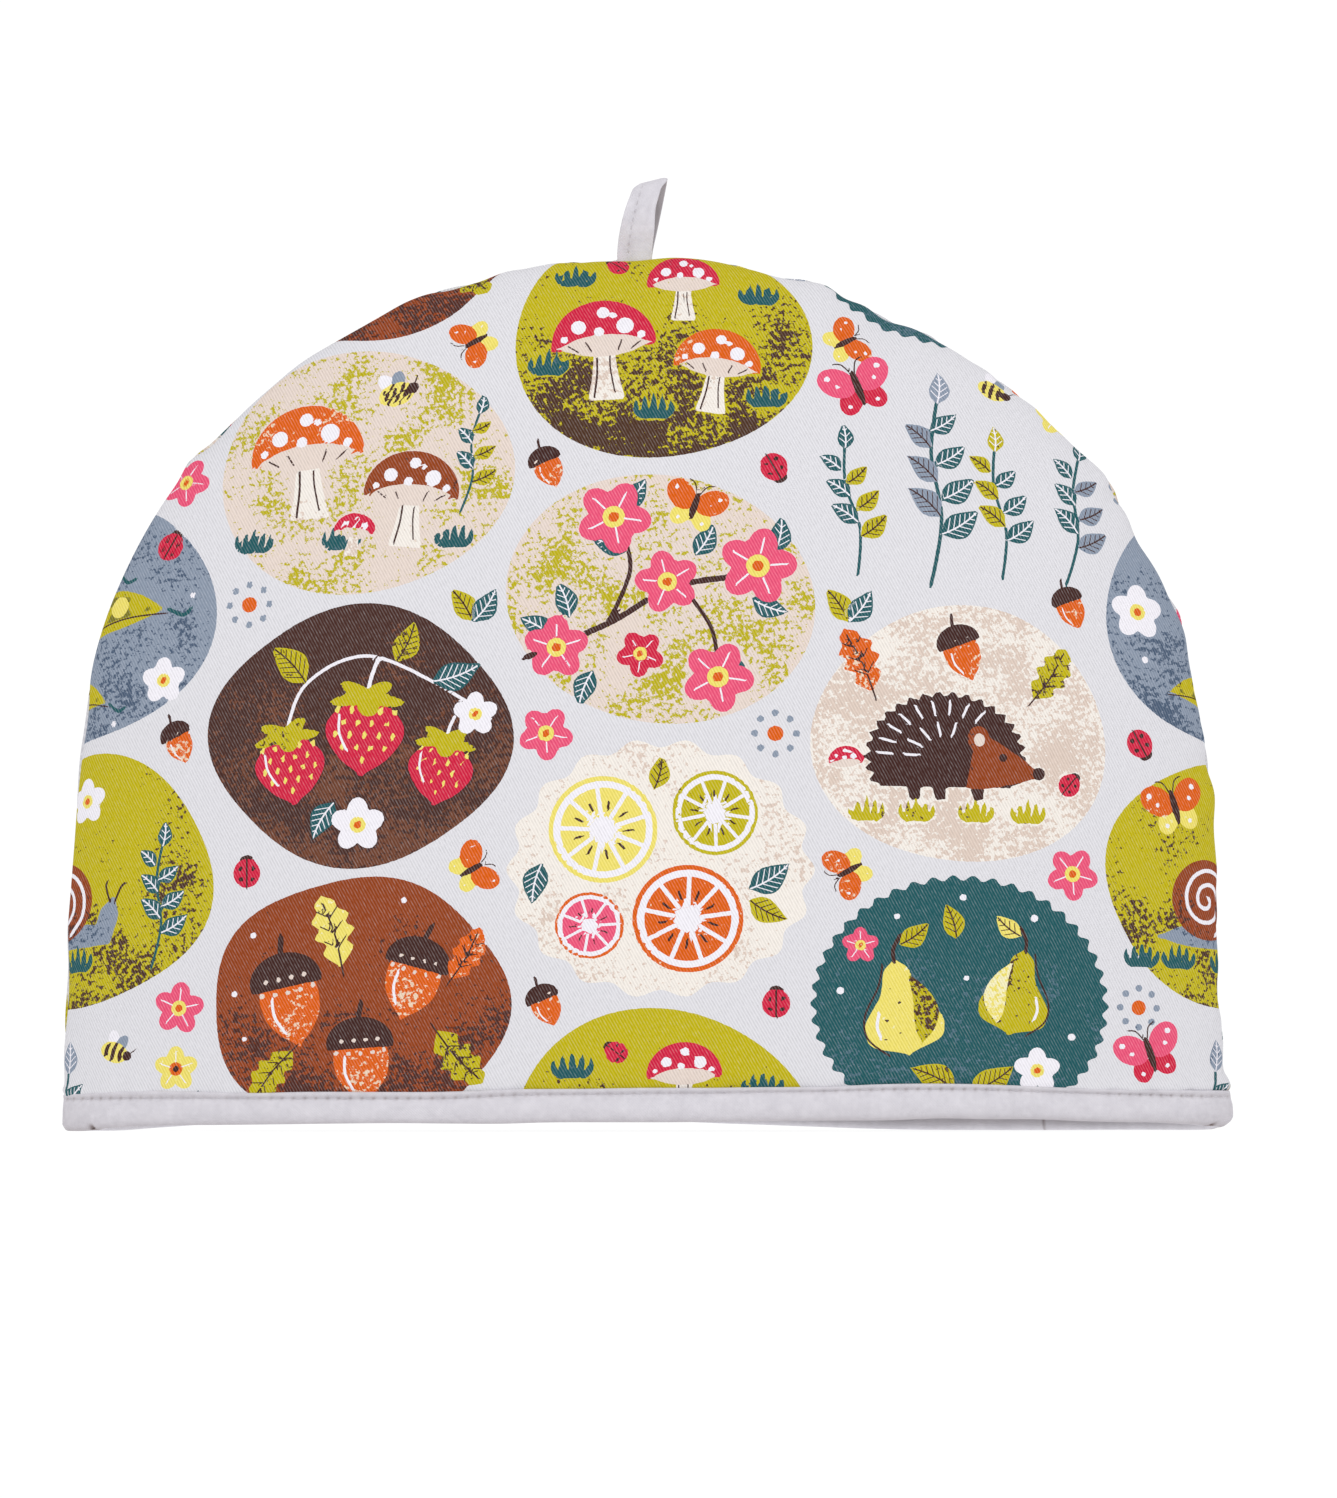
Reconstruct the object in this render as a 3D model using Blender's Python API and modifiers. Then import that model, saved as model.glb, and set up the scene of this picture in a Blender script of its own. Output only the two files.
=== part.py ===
"""A padded, dome-shaped tea cosy of printed cotton, standing on its hem.

X runs to the right as seen from the front, Y to the back and Z up. The origin is on the surface that the
cosy stands on, under its middle. Lengths are in metres. Two padded panels meet face to face at a seam over the
dome, one strip binds the whole hem, and a folded strip stands in the seam at the crown as a hanging loop.
"""

import math

import bmesh
import bpy
import numpy as np

NAME = "tea_cosy"

# The dome's outline, as a curve of half-width against height: width * (1 - (z / height) ** rise) ** round.
DOME_HEIGHT = 0.2626
LEFT_WIDTH, LEFT_RISE, LEFT_ROUND = 0.1736, 4.0, 0.59
RIGHT_WIDTH, RIGHT_RISE, RIGHT_ROUND = 0.1722, 3.8, 0.60

# How far each panel stands out from the seam, the share of that which swells like a round pad, and the small
# gaps left between the two panels and between a panel and what is sewn to it.
PANEL_DEPTH = 0.0502
ROUND_SHARE = 0.55
SEAM_GAP = 0.0003
FIT_GAP = 0.0003

# Cloth, padding and cloth together. The wall thins to a share of itself at the seam and under the binding.
WALL = 0.006
SEAM_THINNING, SEAM_REACH = 0.5, 0.3
HEM_THINNING, HEM_THIN_TO, HEM_REACH = 0.6, 0.015, 0.022

# Slow dents in the padded faces. They start above the binding.
DENTS = (  # depth, width over 2 pi, height over 2 pi, turn in front and behind
    (0.0007, 0.034, 0.060, 1.1),
    (0.0004, 0.019, -0.027, 2.3),
)
DENTS_FROM, DENTS_REACH = 0.02, 0.06

# The binding: one strip round both panels' lower edge.
STRIP_HEIGHT = 0.0102
STRIP_THICKNESS = 0.0011
RIM_HEIGHT = 0.0017
STRIP_FLOOR = 0.0013
CORNER_BULGE = 0.0015
CORNER_REACH = 0.012

# The hem isn't flat all round: each row is a place across and the hem's lift in front and behind.
HEM_LIFT = (  # across, front, back
    (-0.180, 0.0000, 0.0000),
    (-0.162, 0.0000, 0.0003),
    (-0.146, 0.0012, 0.0014),
    (-0.120, 0.0021, 0.0023),
    (-0.060, 0.0027, 0.0029),
    (0.005, 0.0029, 0.0030),
    (0.050, 0.0035, 0.0016),
    (0.092, 0.0041, 0.0000),
    (0.125, 0.0037, 0.0000),
    (0.148, 0.0023, 0.0000),
    (0.166, 0.0000, 0.0000),
    (0.180, 0.0000, 0.0000),
)
LIFT_FADE = 0.10  # height at which the panel no longer follows its hem

# The loop: half of its folded strip, from its sewn end up to the fold.
LOOP_WIDTH = 0.0105
LOOP_THICKNESS = 0.0010
LOOP_LEFT_OF_MIDDLE = 0.0039
LOOP_LEAN, LOOP_FOLD_SLOPE, LOOP_TWIST = 0.0042, 0.30, 0.0009
LOOP_END = -0.0040
LOOP_TOP = 0.0212
LOOP_HALF = (  # height above the crown, half-opening
    (LOOP_END, 0.0007),
    (0.0002, 0.0007),
    (0.0040, 0.0015),
    (0.0085, 0.0029),
    (0.0130, 0.0036),
    (0.0172, 0.0032),
    (0.0202, 0.0018),
    (LOOP_TOP, 0.0000),
)

AROUND, OUTWARDS = 48, 20  # cells of a panel's net, along the seam and from the hem's middle to it
LOOP_STEPS, LOOP_ACROSS = 36, 4
HALVINGS = 48
SHARP_ANGLE = math.radians(50.0)
SLOT_BELOW, SLOT_ABOVE = 0.012, 0.006

PRINTED_CLOTH = ((0.60, 0.58, 0.40, 1.0), 0.85)
GREY_CLOTH = ((0.68, 0.66, 0.70, 1.0), 0.80)

FRONT, BACK = -1.0, 1.0


def smooth(value):
    """Rise gently from 0 to 1 as value goes from 0 to 1."""
    value = np.clip(value, 0.0, 1.0)
    return value * value * (3.0 - 2.0 * value)


def smooth_table(table, column, places):
    """Read a column of a table at any place, as a smooth curve through its rows."""
    knots = np.array([row[0] for row in table])
    values = np.array([row[column] for row in table])
    slopes = np.gradient(values, knots)
    slopes[0] = slopes[-1] = 0.0
    places = np.clip(places, knots[0], knots[-1])
    cell = np.clip(np.searchsorted(knots, places) - 1, 0, len(knots) - 2)
    span = knots[cell + 1] - knots[cell]
    t = (places - knots[cell]) / span
    rise = values[cell + 1] - values[cell]
    first = span * slopes[cell] - rise
    last = rise - span * slopes[cell + 1]
    return values[cell] + t * rise + t * (1.0 - t) * (first * (1.0 - t) + last * t)


def hem_lift(across, side):
    """How high the hem stands off the surface in front or behind, at a place across."""
    return np.maximum(smooth_table(HEM_LIFT, 1 if side == FRONT else 2, across), 0.0)


def outline_reach(cosine, sine):
    """Distance from the middle of the hem to the dome's outline in a direction, by halving."""
    left = cosine < 0.0
    width = np.where(left, LEFT_WIDTH, RIGHT_WIDTH)
    rise = np.where(left, LEFT_RISE, RIGHT_RISE)
    power = 1.0 / np.where(left, LEFT_ROUND, RIGHT_ROUND)
    low = np.zeros_like(cosine)
    high = np.full_like(cosine, 2.0 * DOME_HEIGHT)
    for _ in range(HALVINGS):
        middle = 0.5 * (low + high)
        inside = (np.abs(middle * cosine) / width) ** power + (middle * sine / DOME_HEIGHT) ** rise < 1.0
        low = np.where(inside, middle, low)
        high = np.where(inside, high, middle)
    return low


def panel_depth(openness):
    """The outer face's distance from the seam. Openness is 0 at the seam and 1 at the hem's middle."""
    return PANEL_DEPTH * (ROUND_SHARE * openness + (1.0 - ROUND_SHARE) * openness ** 2)


def softness(across, height, side):
    """Slow dents in the padded face, none near the binding."""
    waves = 0.0
    for depth, wide, tall, turn in DENTS:
        waves = waves + depth * np.sin(across / wide + height / tall + turn * side)
    return waves * smooth((height - DENTS_FROM) / DENTS_REACH)


def panel_face(theta, beta, side):
    """Outer face of a panel. Rays leave the hem's middle at theta, and beta runs from 0 there to a quarter turn
    at the seam. Gives the points, their openness and their height before the hem lifts them."""
    reach = outline_reach(np.cos(theta), np.sin(theta)) * np.sin(beta)
    openness = np.cos(beta)
    x, z = reach * np.cos(theta), reach * np.sin(theta)
    y = SEAM_GAP / 2.0 + panel_depth(openness) + softness(x, z, side) * openness
    lifted = RIM_HEIGHT + z * (1.0 - RIM_HEIGHT / DOME_HEIGHT)
    lifted = lifted + hem_lift(x, side) * np.clip(1.0 - z / LIFT_FADE, 0.0, 1.0) ** 2
    return np.stack([x, side * y, lifted], axis=-1), openness, z


def wall_share(openness, height):
    """Share of the full wall thickness at a place."""
    at_seam = SEAM_THINNING + (1.0 - SEAM_THINNING) * smooth(openness / SEAM_REACH)
    at_hem = HEM_THINNING + (1.0 - HEM_THINNING) * smooth((height - HEM_THIN_TO) / HEM_REACH)
    return at_seam * at_hem


def cloth_material(name, look):
    """A matt Principled material of one colour."""
    colour, roughness = look
    material = bpy.data.materials.new(name)
    material.use_nodes = True
    shader = material.node_tree.nodes["Principled BSDF"]
    shader.inputs["Base Color"].default_value = colour
    shader.inputs["Roughness"].default_value = roughness
    shader.inputs["Metallic"].default_value = 0.0
    return material


def add_object(name, mesh, material, collection):
    """Put a mesh in the collection as a smooth-shaded object."""
    mesh.materials.append(material)
    mesh.shade_smooth()
    mesh.set_sharp_from_angle(angle=SHARP_ANGLE)
    thing = bpy.data.objects.new(name, mesh)
    collection.objects.link(thing)
    return thing


def grid_mesh(name, columns, rows, positions, weld=False, flip=False):
    """A grid of columns by rows cells, with its points moved to positions[row, column]."""
    net = bmesh.new()
    bmesh.ops.create_grid(net, x_segments=columns, y_segments=rows, size=1.0)
    for vertex in net.verts:
        column = round((vertex.co.x + 1.0) / 2.0 * columns)
        row = round((vertex.co.y + 1.0) / 2.0 * rows)
        vertex.co = positions[row, column]
    if weld:
        bmesh.ops.remove_doubles(net, verts=net.verts, dist=1e-6)
    if flip:
        bmesh.ops.reverse_faces(net, faces=net.faces)
    mesh = bpy.data.meshes.new(name)
    net.to_mesh(mesh)
    net.free()
    return mesh


def make_panel(name, side, collection, material, slot):
    """One padded panel: the outer face with its thickness inwards, notched at the crown for the loop."""
    theta = np.linspace(math.pi, 0.0, AROUND + 1)
    beta = np.linspace(0.0, math.pi / 2.0, OUTWARDS + 1)
    theta, beta = np.meshgrid(theta, beta)
    points, openness, height = panel_face(theta, beta, side)
    mesh = grid_mesh(name, AROUND, OUTWARDS, points, weld=True, flip=side == BACK)
    thing = add_object(name, mesh, material, collection)
    share = wall_share(openness, height).ravel()
    nearest = points.reshape(-1, 3)
    padding = thing.vertex_groups.new(name="padding")
    for vertex in mesh.vertices:
        place = int(np.argmin(((nearest - np.array(vertex.co)) ** 2).sum(axis=1)))
        padding.add([vertex.index], float(share[place]), "REPLACE")
    shell = thing.modifiers.new("wall", "SOLIDIFY")
    shell.thickness = WALL
    shell.offset = -1.0
    shell.vertex_group = padding.name
    thing.data = bpy.data.meshes.new_from_object(thing.evaluated_get(bpy.context.evaluated_depsgraph_get()))
    thing.modifiers.clear()
    for vertex in thing.data.vertices:
        vertex.co.y = side * max(side * vertex.co.y, SEAM_GAP / 2.0)
    notch = thing.modifiers.new("notch for the loop", "BOOLEAN")
    notch.operation = "DIFFERENCE"
    notch.solver = "EXACT"
    notch.object = slot
    return thing


def hem_ring():
    """Points once round the hem's outer face, with outward directions, wall thickness and lift."""
    phi = np.linspace(-math.pi / 2.0, math.pi / 2.0, 2 * OUTWARDS + 1)
    rows = []
    for side, order in ((FRONT, 1), (BACK, -1)):
        turned = phi[::order]
        width = np.where(turned < 0.0, LEFT_WIDTH, RIGHT_WIDTH)
        openness = np.cos(turned)
        x = width * np.sin(turned)
        y = SEAM_GAP / 2.0 + panel_depth(openness)
        slope = PANEL_DEPTH * np.sin(turned) * (ROUND_SHARE + 2.0 * (1.0 - ROUND_SHARE) * openness)
        length = np.hypot(slope, width * openness)
        thickness = WALL * wall_share(openness, np.zeros_like(x))
        rows.append(np.stack([x, side * y, slope / length, side * width * openness / length,
                              thickness, hem_lift(x, side)], axis=-1))
    ring = np.concatenate(rows)
    return np.concatenate([ring, ring[:1]])


def binding_section():
    """The folded strip's section, from its outer top round the outside and back up the inside.

    Each row is (outwards, up, 1 where it follows the wall's inner face, share of the corner's bulge).
    """
    top, thick, gap = STRIP_HEIGHT, STRIP_THICKNESS, FIT_GAP
    return (
        (gap, top, 0.0, 0.0),
        (gap + 0.9 * thick, top - 0.0002, 0.0, 0.0),
        (gap + 1.05 * thick, top - 0.0015, 0.0, 0.3),
        (gap + thick, top - 0.0027, 0.0, 0.5),
        (gap + 1.45 * thick, 0.52 * top, 0.0, 1.0),
        (gap + 1.35 * thick, 0.24 * top, 0.0, 0.9),
        (gap + 0.6 * thick, 0.0005, 0.0, 0.5),
        (gap - 0.0003, 0.0, 0.0, 0.0),
        (-gap + 0.0003, 0.0, 1.0, 0.0),
        (-gap - 0.8 * thick, 0.0006, 1.0, 0.0),
        (-gap - 1.2 * thick, 0.24 * top, 1.0, 0.0),
        (-gap - 1.2 * thick, 0.60 * top, 1.0, 0.0),
        (-gap - 0.9 * thick, top - 0.0006, 1.0, 0.0),
        (-gap, top - 0.0004, 1.0, 0.0),
        (-gap, STRIP_FLOOR, 1.0, 0.0),
        (gap, STRIP_FLOOR, 0.0, 0.0),
        (gap, top, 0.0, 0.0),
    )


def make_binding(collection, material):
    """The hem binding: the folded section carried once round the hem as one closed ring."""
    ring = hem_ring()
    section = binding_section()
    at_corner = np.exp(-((ring[:, 0] - RIGHT_WIDTH) / CORNER_REACH) ** 2)
    positions = np.empty((len(section), len(ring), 3))
    for row, (outwards, up, wall_part, bulge) in enumerate(section):
        offset = outwards - wall_part * ring[:, 4] + bulge * CORNER_BULGE * at_corner
        positions[row, :, 0] = ring[:, 0] + offset * ring[:, 2]
        positions[row, :, 1] = ring[:, 1] + offset * ring[:, 3]
        positions[row, :, 2] = up + ring[:, 5]
    mesh = grid_mesh("hem_binding", len(ring) - 1, len(section) - 1, positions, weld=True, flip=True)
    return add_object("hem_binding", mesh, material, collection)


def make_loop(collection, material):
    """The hanging loop: a strip bent over a drop-shaped path, leaning to the right."""
    heights = np.array([row[0] for row in LOOP_HALF])
    openings = np.array([row[1] for row in LOOP_HALF])
    path = np.concatenate([np.stack([-openings, heights], axis=1),
                           np.stack([openings, heights], axis=1)[-2::-1]])
    knots = np.concatenate([[0.0], np.cumsum(np.hypot(*np.diff(path, axis=0).T))])
    table = [(knot, y, z) for knot, (y, z) in zip(knots, path)]
    along = np.linspace(0.0, knots[-1], LOOP_STEPS + 1)
    y = smooth_table(table, 1, along)
    up = smooth_table(table, 2, along)
    risen = np.clip(up / LOOP_TOP, 0.0, 1.0)
    across = np.linspace(-0.5, 0.5, LOOP_ACROSS + 1) * LOOP_WIDTH
    twist = LOOP_TWIST * np.sin(math.pi * risen) * np.where(y > 0.0, 1.0, -0.2)
    middle = -LOOP_LEFT_OF_MIDDLE + LOOP_LEAN * risen ** 1.6 + twist
    positions = np.empty((LOOP_ACROSS + 1, LOOP_STEPS + 1, 3))
    for row, place in enumerate(across):
        positions[row, :, 0] = middle + place
        positions[row, :, 1] = y
        positions[row, :, 2] = DOME_HEIGHT + up + place * LOOP_FOLD_SLOPE * risen ** 2
    mesh = grid_mesh("hanging_loop", LOOP_STEPS, LOOP_ACROSS, positions)
    thing = add_object("hanging_loop", mesh, material, collection)
    cloth = thing.modifiers.new("cloth", "SOLIDIFY")
    cloth.thickness = LOOP_THICKNESS
    cloth.offset = 0.0
    cloth.use_even_offset = True
    return thing


def make_slot(collection):
    """The cutter for the gap that the loop's two ends leave in the seam."""
    half_depth = LOOP_HALF[0][1] + LOOP_THICKNESS / 2.0 + FIT_GAP
    bottom, top = DOME_HEIGHT - SLOT_BELOW, DOME_HEIGHT + SLOT_ABOVE
    bpy.ops.mesh.primitive_cube_add(size=1.0)
    slot = bpy.context.object
    slot.name = "loop_slot"
    slot.scale = (LOOP_WIDTH + 2.0 * FIT_GAP, 2.0 * half_depth, top - bottom)
    slot.location = (-LOOP_LEFT_OF_MIDDLE, 0.0, (top + bottom) / 2.0)
    slot.hide_render = True
    slot.display_type = "WIRE"
    for owner in list(slot.users_collection):
        owner.objects.unlink(slot)
    collection.objects.link(slot)
    return slot


def main():
    for thing in list(bpy.data.objects):
        bpy.data.objects.remove(thing, do_unlink=True)
    parts = bpy.data.collections.new(NAME)
    cutters = bpy.data.collections.new("cutters")
    bpy.context.scene.collection.children.link(parts)
    bpy.context.scene.collection.children.link(cutters)
    printed = cloth_material("printed_cotton", PRINTED_CLOTH)
    grey = cloth_material("grey_cotton", GREY_CLOTH)
    slot = make_slot(cutters)
    make_panel("front_panel", FRONT, parts, printed, slot)
    make_panel("back_panel", BACK, parts, printed, slot)
    make_binding(parts, grey)
    make_loop(parts, grey)


main()
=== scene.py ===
from collections import namedtuple
import math

import bpy
import numpy as np
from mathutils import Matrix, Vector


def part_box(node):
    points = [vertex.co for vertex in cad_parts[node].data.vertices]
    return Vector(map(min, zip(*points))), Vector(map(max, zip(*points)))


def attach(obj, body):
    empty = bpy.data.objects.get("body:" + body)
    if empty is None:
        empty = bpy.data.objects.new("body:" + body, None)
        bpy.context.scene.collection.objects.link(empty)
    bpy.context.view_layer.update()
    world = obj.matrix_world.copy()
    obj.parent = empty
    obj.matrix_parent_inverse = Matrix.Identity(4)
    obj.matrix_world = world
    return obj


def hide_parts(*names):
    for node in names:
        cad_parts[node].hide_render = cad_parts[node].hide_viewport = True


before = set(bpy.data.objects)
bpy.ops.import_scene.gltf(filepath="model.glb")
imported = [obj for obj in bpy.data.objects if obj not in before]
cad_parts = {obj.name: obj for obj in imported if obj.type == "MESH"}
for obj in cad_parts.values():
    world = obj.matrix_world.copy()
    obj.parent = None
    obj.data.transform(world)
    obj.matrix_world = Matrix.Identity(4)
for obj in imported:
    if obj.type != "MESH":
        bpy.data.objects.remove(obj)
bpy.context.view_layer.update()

MM = 0.001
QUARTER, TURN = 0.5 * math.pi, 2 * math.pi
FRONT, BACK = -1, 1

# ---- sizes, from the frame and the maker's pattern

LEFT_WIDTH, RIGHT_WIDTH = -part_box("front_panel")[0][0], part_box("front_panel")[1][0]
RISES, ROUNDS = (4, 3.8), (0.59, 0.60)  # of the outline's left and right half
DOME_HEIGHT, PANEL_DEPTH, ROUND_SHARE = 262.6 * MM, 50.2 * MM, 0.55
SEAM_GAP, WALL, STRIP_HEIGHT, RIM_HEIGHT = 0.3 * MM, 6 * MM, 10.2 * MM, 1.7 * MM
SEAM_THINNING, SEAM_REACH = 0.5, 0.3
HEM_THINNING, HEM_THIN_TO, HEM_REACH = 0.6, 15 * MM, 22 * MM
DENTS = ((0.7, 34, 60, 1.1), (0.4, 19, -27, 2.3))  # depth, width and height in millimetres, turn
DENTS_FROM, DENTS_REACH = 20 * MM, 60 * MM
HEM_LIFT = MM * np.array((  # in millimetres: across, how high in front, and behind
    (-180, 0, 0), (-169.5, 0.05, 0), (-166.5, 0.3, 0), (-164, 0.7, 0), (-162, 0.9, 0.03), (-160, 1, 0.1),
    (-156.4, 1.25, 0.3), (-150, 1.6, 0.8), (-146, 1.75, 1.05), (-137, 1.9, 1.65), (-128, 1.97, 2.1),
    (-110, 2.2, 2.4), (-92, 2.46, 2.7), (-74, 2.62, 2.9), (-56, 2.5, 2.7), (-45, 2.45, 2.6), (-29, 2.86, 3),
    (-10, 2.92, 2.9), (5, 2.92, 2.8), (15.8, 3, 2.2), (33.8, 3.2, 1.55), (51.8, 3.4, 0.9), (69.8, 3.45, 0.3),
    (87.8, 4, 0), (100, 3.75, 0), (114.8, 3.7, 0), (132.8, 3, 0.1), (141.8, 2.75, 0.18), (150.8, 2.65, 0.22),
    (159.8, 2.3, 0.22), (163.7, 2.07, 0.22), (168.3, 1.6, 0.3), (170.2, 1.3, 0.35), (171.7, 1.05, 0.75),
    (173, 0.85, 0.85), (180, 0.85, 0.85),
))
LIFT_FADE, LIFT_SPREAD = 100 * MM, 18 * MM
OUTLINE_TRIM = np.array((  # degrees round from the right, millimetres out: the sewn edge is uneven
    (0, 0), (2.6, 0.1), (3.2, 2.4), (3.8, 3), (4.4, 2.15), (5, 1), (6, 0.65), (7, 1.3), (8, 1.48), (10, 0.56),
    (11.5, -0.39), (15, -0.22), (18, -1.2), (20, -0.67), (23, 0.28), (26, -0.05), (29, 0.75), (32, 0.39),
    (34, -0.02), (36.5, 0.84), (38.5, -0.36), (40, 0.7), (41.5, 0.95), (44, 2.14), (46, 1.49), (48.5, -0.04),
    (51.5, 0.2), (54, 1.99), (56, 2.62), (58.5, 0.27), (60, 0.85), (61.5, 0.95), (63, 0.6), (64, 0.7),
    (65.5, 1.3), (67.5, 0.08), (70, 0.98), (73, -0.11), (76, 0.69), (79, 2.12), (82, 0.68), (85, 1.68),
    (88, 0.5), (91, 0.2), (93, 0.2), (95, 1.55), (96.2, 1.6), (97, 1.45), (99, 2.6), (101.5, 1.3),
    (103.2, 2.5), (104.3, 3.3), (106, 3.2), (108, 2.4), (111, 2.12), (114, 1.69), (117, 0.72), (120, 1.06),
    (122.6, 0.85), (124.5, 2.2), (126, 1.2), (128, 0.95), (132, 1.05), (138, 1.69), (141, 1.53),
    (143.5, 0.59), (147.5, 0.74), (151, 0.54), (153.5, 0.29), (157, 0.67), (161, 1.67), (165, 1.19),
    (167, 1.24), (170, 1.49), (173, 1.64), (175.2, 1.9), (176, 2.15), (176.5, 2.5), (177, 2), (177.5, 1),
    (178.2, 0), (180, 0),
))

# Cells of a panel's net, and how many of them a cell of its inner face spans. A wave is its step in
# millimetres, how far its turn sways, and the step of that.
CELLS_ACROSS, CELLS_UP, INNER_STEP = 348, 260, 4
SEAM_DITCH, DITCH_REACH = 1.1 * MM, 1.9 * MM
PUCKER, PUCKER_REACH, PUCKER_WAVE, PUCKER_STEP = 0.45 * MM, 11 * MM, (3.4, 1.3, 17), 7.9 * MM
GATHER, GATHER_REACH, GATHER_WAVE = 0.22 * MM, 6 * MM, (2.1, 2, 13)


# ---- curves and nets

def smooth(value):
    """Rise gently from 0 to 1 as value goes from 0 to 1."""
    value = np.clip(value, 0, 1)
    return value * value * (3 - 2 * value)


def bell(away, reach):
    """1 where away is 0, falling off on both sides as exp(-(away / reach)^2)."""
    return np.exp(-(away / reach) ** 2)


def wavy(place, wave, turn=0):
    """An uneven wave from -1 to 1: sin(place / step + sway sin(place / sway step + turn))."""
    step, sway, sway_step = wave
    return np.sin(place / (step * MM) + sway * np.sin(place / (sway_step * MM) + turn))


def smooth_through(knots, values, places):
    """A smooth curve through values or rows of values at knots, level at both ends, read at places: a cubic
    in each span, with slopes taken from the values on either side."""
    knots, values = np.asarray(knots, float), np.asarray(values, float)
    slopes = np.gradient(values, knots, axis=0)
    slopes[0] = slopes[-1] = 0
    places = np.clip(places, knots[0], knots[-1])
    cell = np.clip(np.searchsorted(knots, places) - 1, 0, len(knots) - 2)
    span = knots[cell + 1] - knots[cell]
    t = (places - knots[cell]) / span
    if values.ndim == 2:
        span, t = span[..., None], t[..., None]
    rise = values[cell + 1] - values[cell]
    first, last = span * slopes[cell] - rise, rise - span * slopes[cell + 1]
    return values[cell] + t * rise + t * (1 - t) * (first * (1 - t) + last * t)


def run_of(points):
    """The way run so far at each of a row of points."""
    return np.concatenate([[0], np.cumsum(np.linalg.norm(np.diff(points, axis=0), axis=1))])


def evenly(curve, start, stop, count):
    """Parameters from start to stop at which a curve of points has steps of equal length."""
    parameter = np.linspace(start, stop, 4000)
    run = run_of(curve(parameter))
    return np.interp(np.linspace(0, run[-1], count), run, parameter)


def unit(vectors):
    """Vectors of length one."""
    return vectors / np.maximum(np.linalg.norm(vectors, axis=-1, keepdims=True), 1e-12)


def net_faces(rows, columns, close_rows=False, close_columns=False):
    """Quads of a net of rows by columns points, in the order that turns along columns, then up rows."""
    index = np.arange(rows * columns).reshape(rows, columns)
    index = np.pad(index, ((0, int(close_rows)), (0, int(close_columns))), "wrap")
    return np.stack([index[:-1, :-1], index[:-1, 1:], index[1:, 1:], index[1:, :-1]], axis=-1).reshape(-1, 4)


def border(rows, columns):
    """Point numbers once round a net's border, starting along its first row."""
    index = np.arange(rows * columns).reshape(rows, columns)
    return np.concatenate([index[0, :-1], index[:-1, -1], index[-1, :0:-1], index[:0:-1, 0]])


def place_object(name, data):
    """A new object of the scene, at the origin."""
    thing = bpy.data.objects.new(name, data)
    bpy.context.scene.collection.objects.link(thing)
    return thing


def add_mesh(name, points, faces, material):
    """A smooth-shaded mesh object."""
    mesh = bpy.data.meshes.new(name)
    mesh.from_pydata(points.reshape(-1, 3).tolist(), [], faces)
    mesh.shade_smooth()
    mesh.materials.append(material)
    return place_object(name, mesh)


def add_piece(name, points, faces, material, slot, *nodes):
    """A mesh piece on the root body, standing for CAD nodes where it names them."""
    piece = add_mesh(name, points, faces, material)
    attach(piece, "root")
    if nodes:
        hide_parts(*nodes)
    return piece


def keep_on_points(piece, name, *parts):
    """Store three numbers for each point of a piece, for its material to read."""
    layer = piece.data.attributes.new(name, "FLOAT_VECTOR", "POINT")
    values = np.stack(np.broadcast_arrays(*parts), axis=-1)
    layer.data.foreach_set("vector", values.astype(np.float32).ravel())


# ---- the dome

def hem_lift(across, side, spread=0):
    """How high the hem stands off the table at a place across, or the mean over a spread."""
    lifts = HEM_LIFT[:, 1 if side == FRONT else 2]
    steps = np.linspace(-0.5, 0.5, 7) * spread
    heights = (smooth_through(HEM_LIFT[:, 0], lifts, across + step) for step in steps)
    return sum(np.maximum(height, 0) for height in heights) / len(steps)


def outline_reach(cosine, sine):
    """Distance from the hem's middle to the dome's outline in a direction: where (|x| / width)^(1 / round)
    + (z / height)^rise is 1, found by halving, with the sewn edge's unevenness added."""
    left = cosine < 0
    width, rise = np.where(left, LEFT_WIDTH, RIGHT_WIDTH), np.where(left, *RISES)
    power = 1 / np.where(left, *ROUNDS)
    low, high = np.zeros_like(cosine), np.full_like(cosine, 2 * DOME_HEIGHT)
    for _ in range(40):
        middle = 0.5 * (low + high)
        inside = (np.abs(middle * cosine) / width) ** power + (middle * sine / DOME_HEIGHT) ** rise < 1
        low, high = np.where(inside, middle, low), np.where(inside, high, middle)
    turn = np.degrees(np.arctan2(np.maximum(sine, 0), cosine))
    return low + smooth_through(OUTLINE_TRIM[:, 0], OUTLINE_TRIM[:, 1], turn) * MM


def panel_depth(openness):
    """The outer face's distance from the seam. Openness is 0 at the seam and 1 at the hem's middle."""
    return PANEL_DEPTH * (ROUND_SHARE * openness + (1 - ROUND_SHARE) * openness ** 2)


def depth_slope(angle):
    """How fast that distance falls with the angle whose cosine is the openness."""
    return PANEL_DEPTH * np.sin(angle) * (ROUND_SHARE + 2 * (1 - ROUND_SHARE) * np.cos(angle))


def softness(across, height, side):
    """Slow dents in the padded face, sines that run aslant over it, none near the binding."""
    waves = sum(depth * MM * np.sin(across / (wide * MM) + height / (tall * MM) + turn * side)
                for depth, wide, tall, turn in DENTS)
    return waves * smooth((height - DENTS_FROM) / DENTS_REACH)


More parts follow.
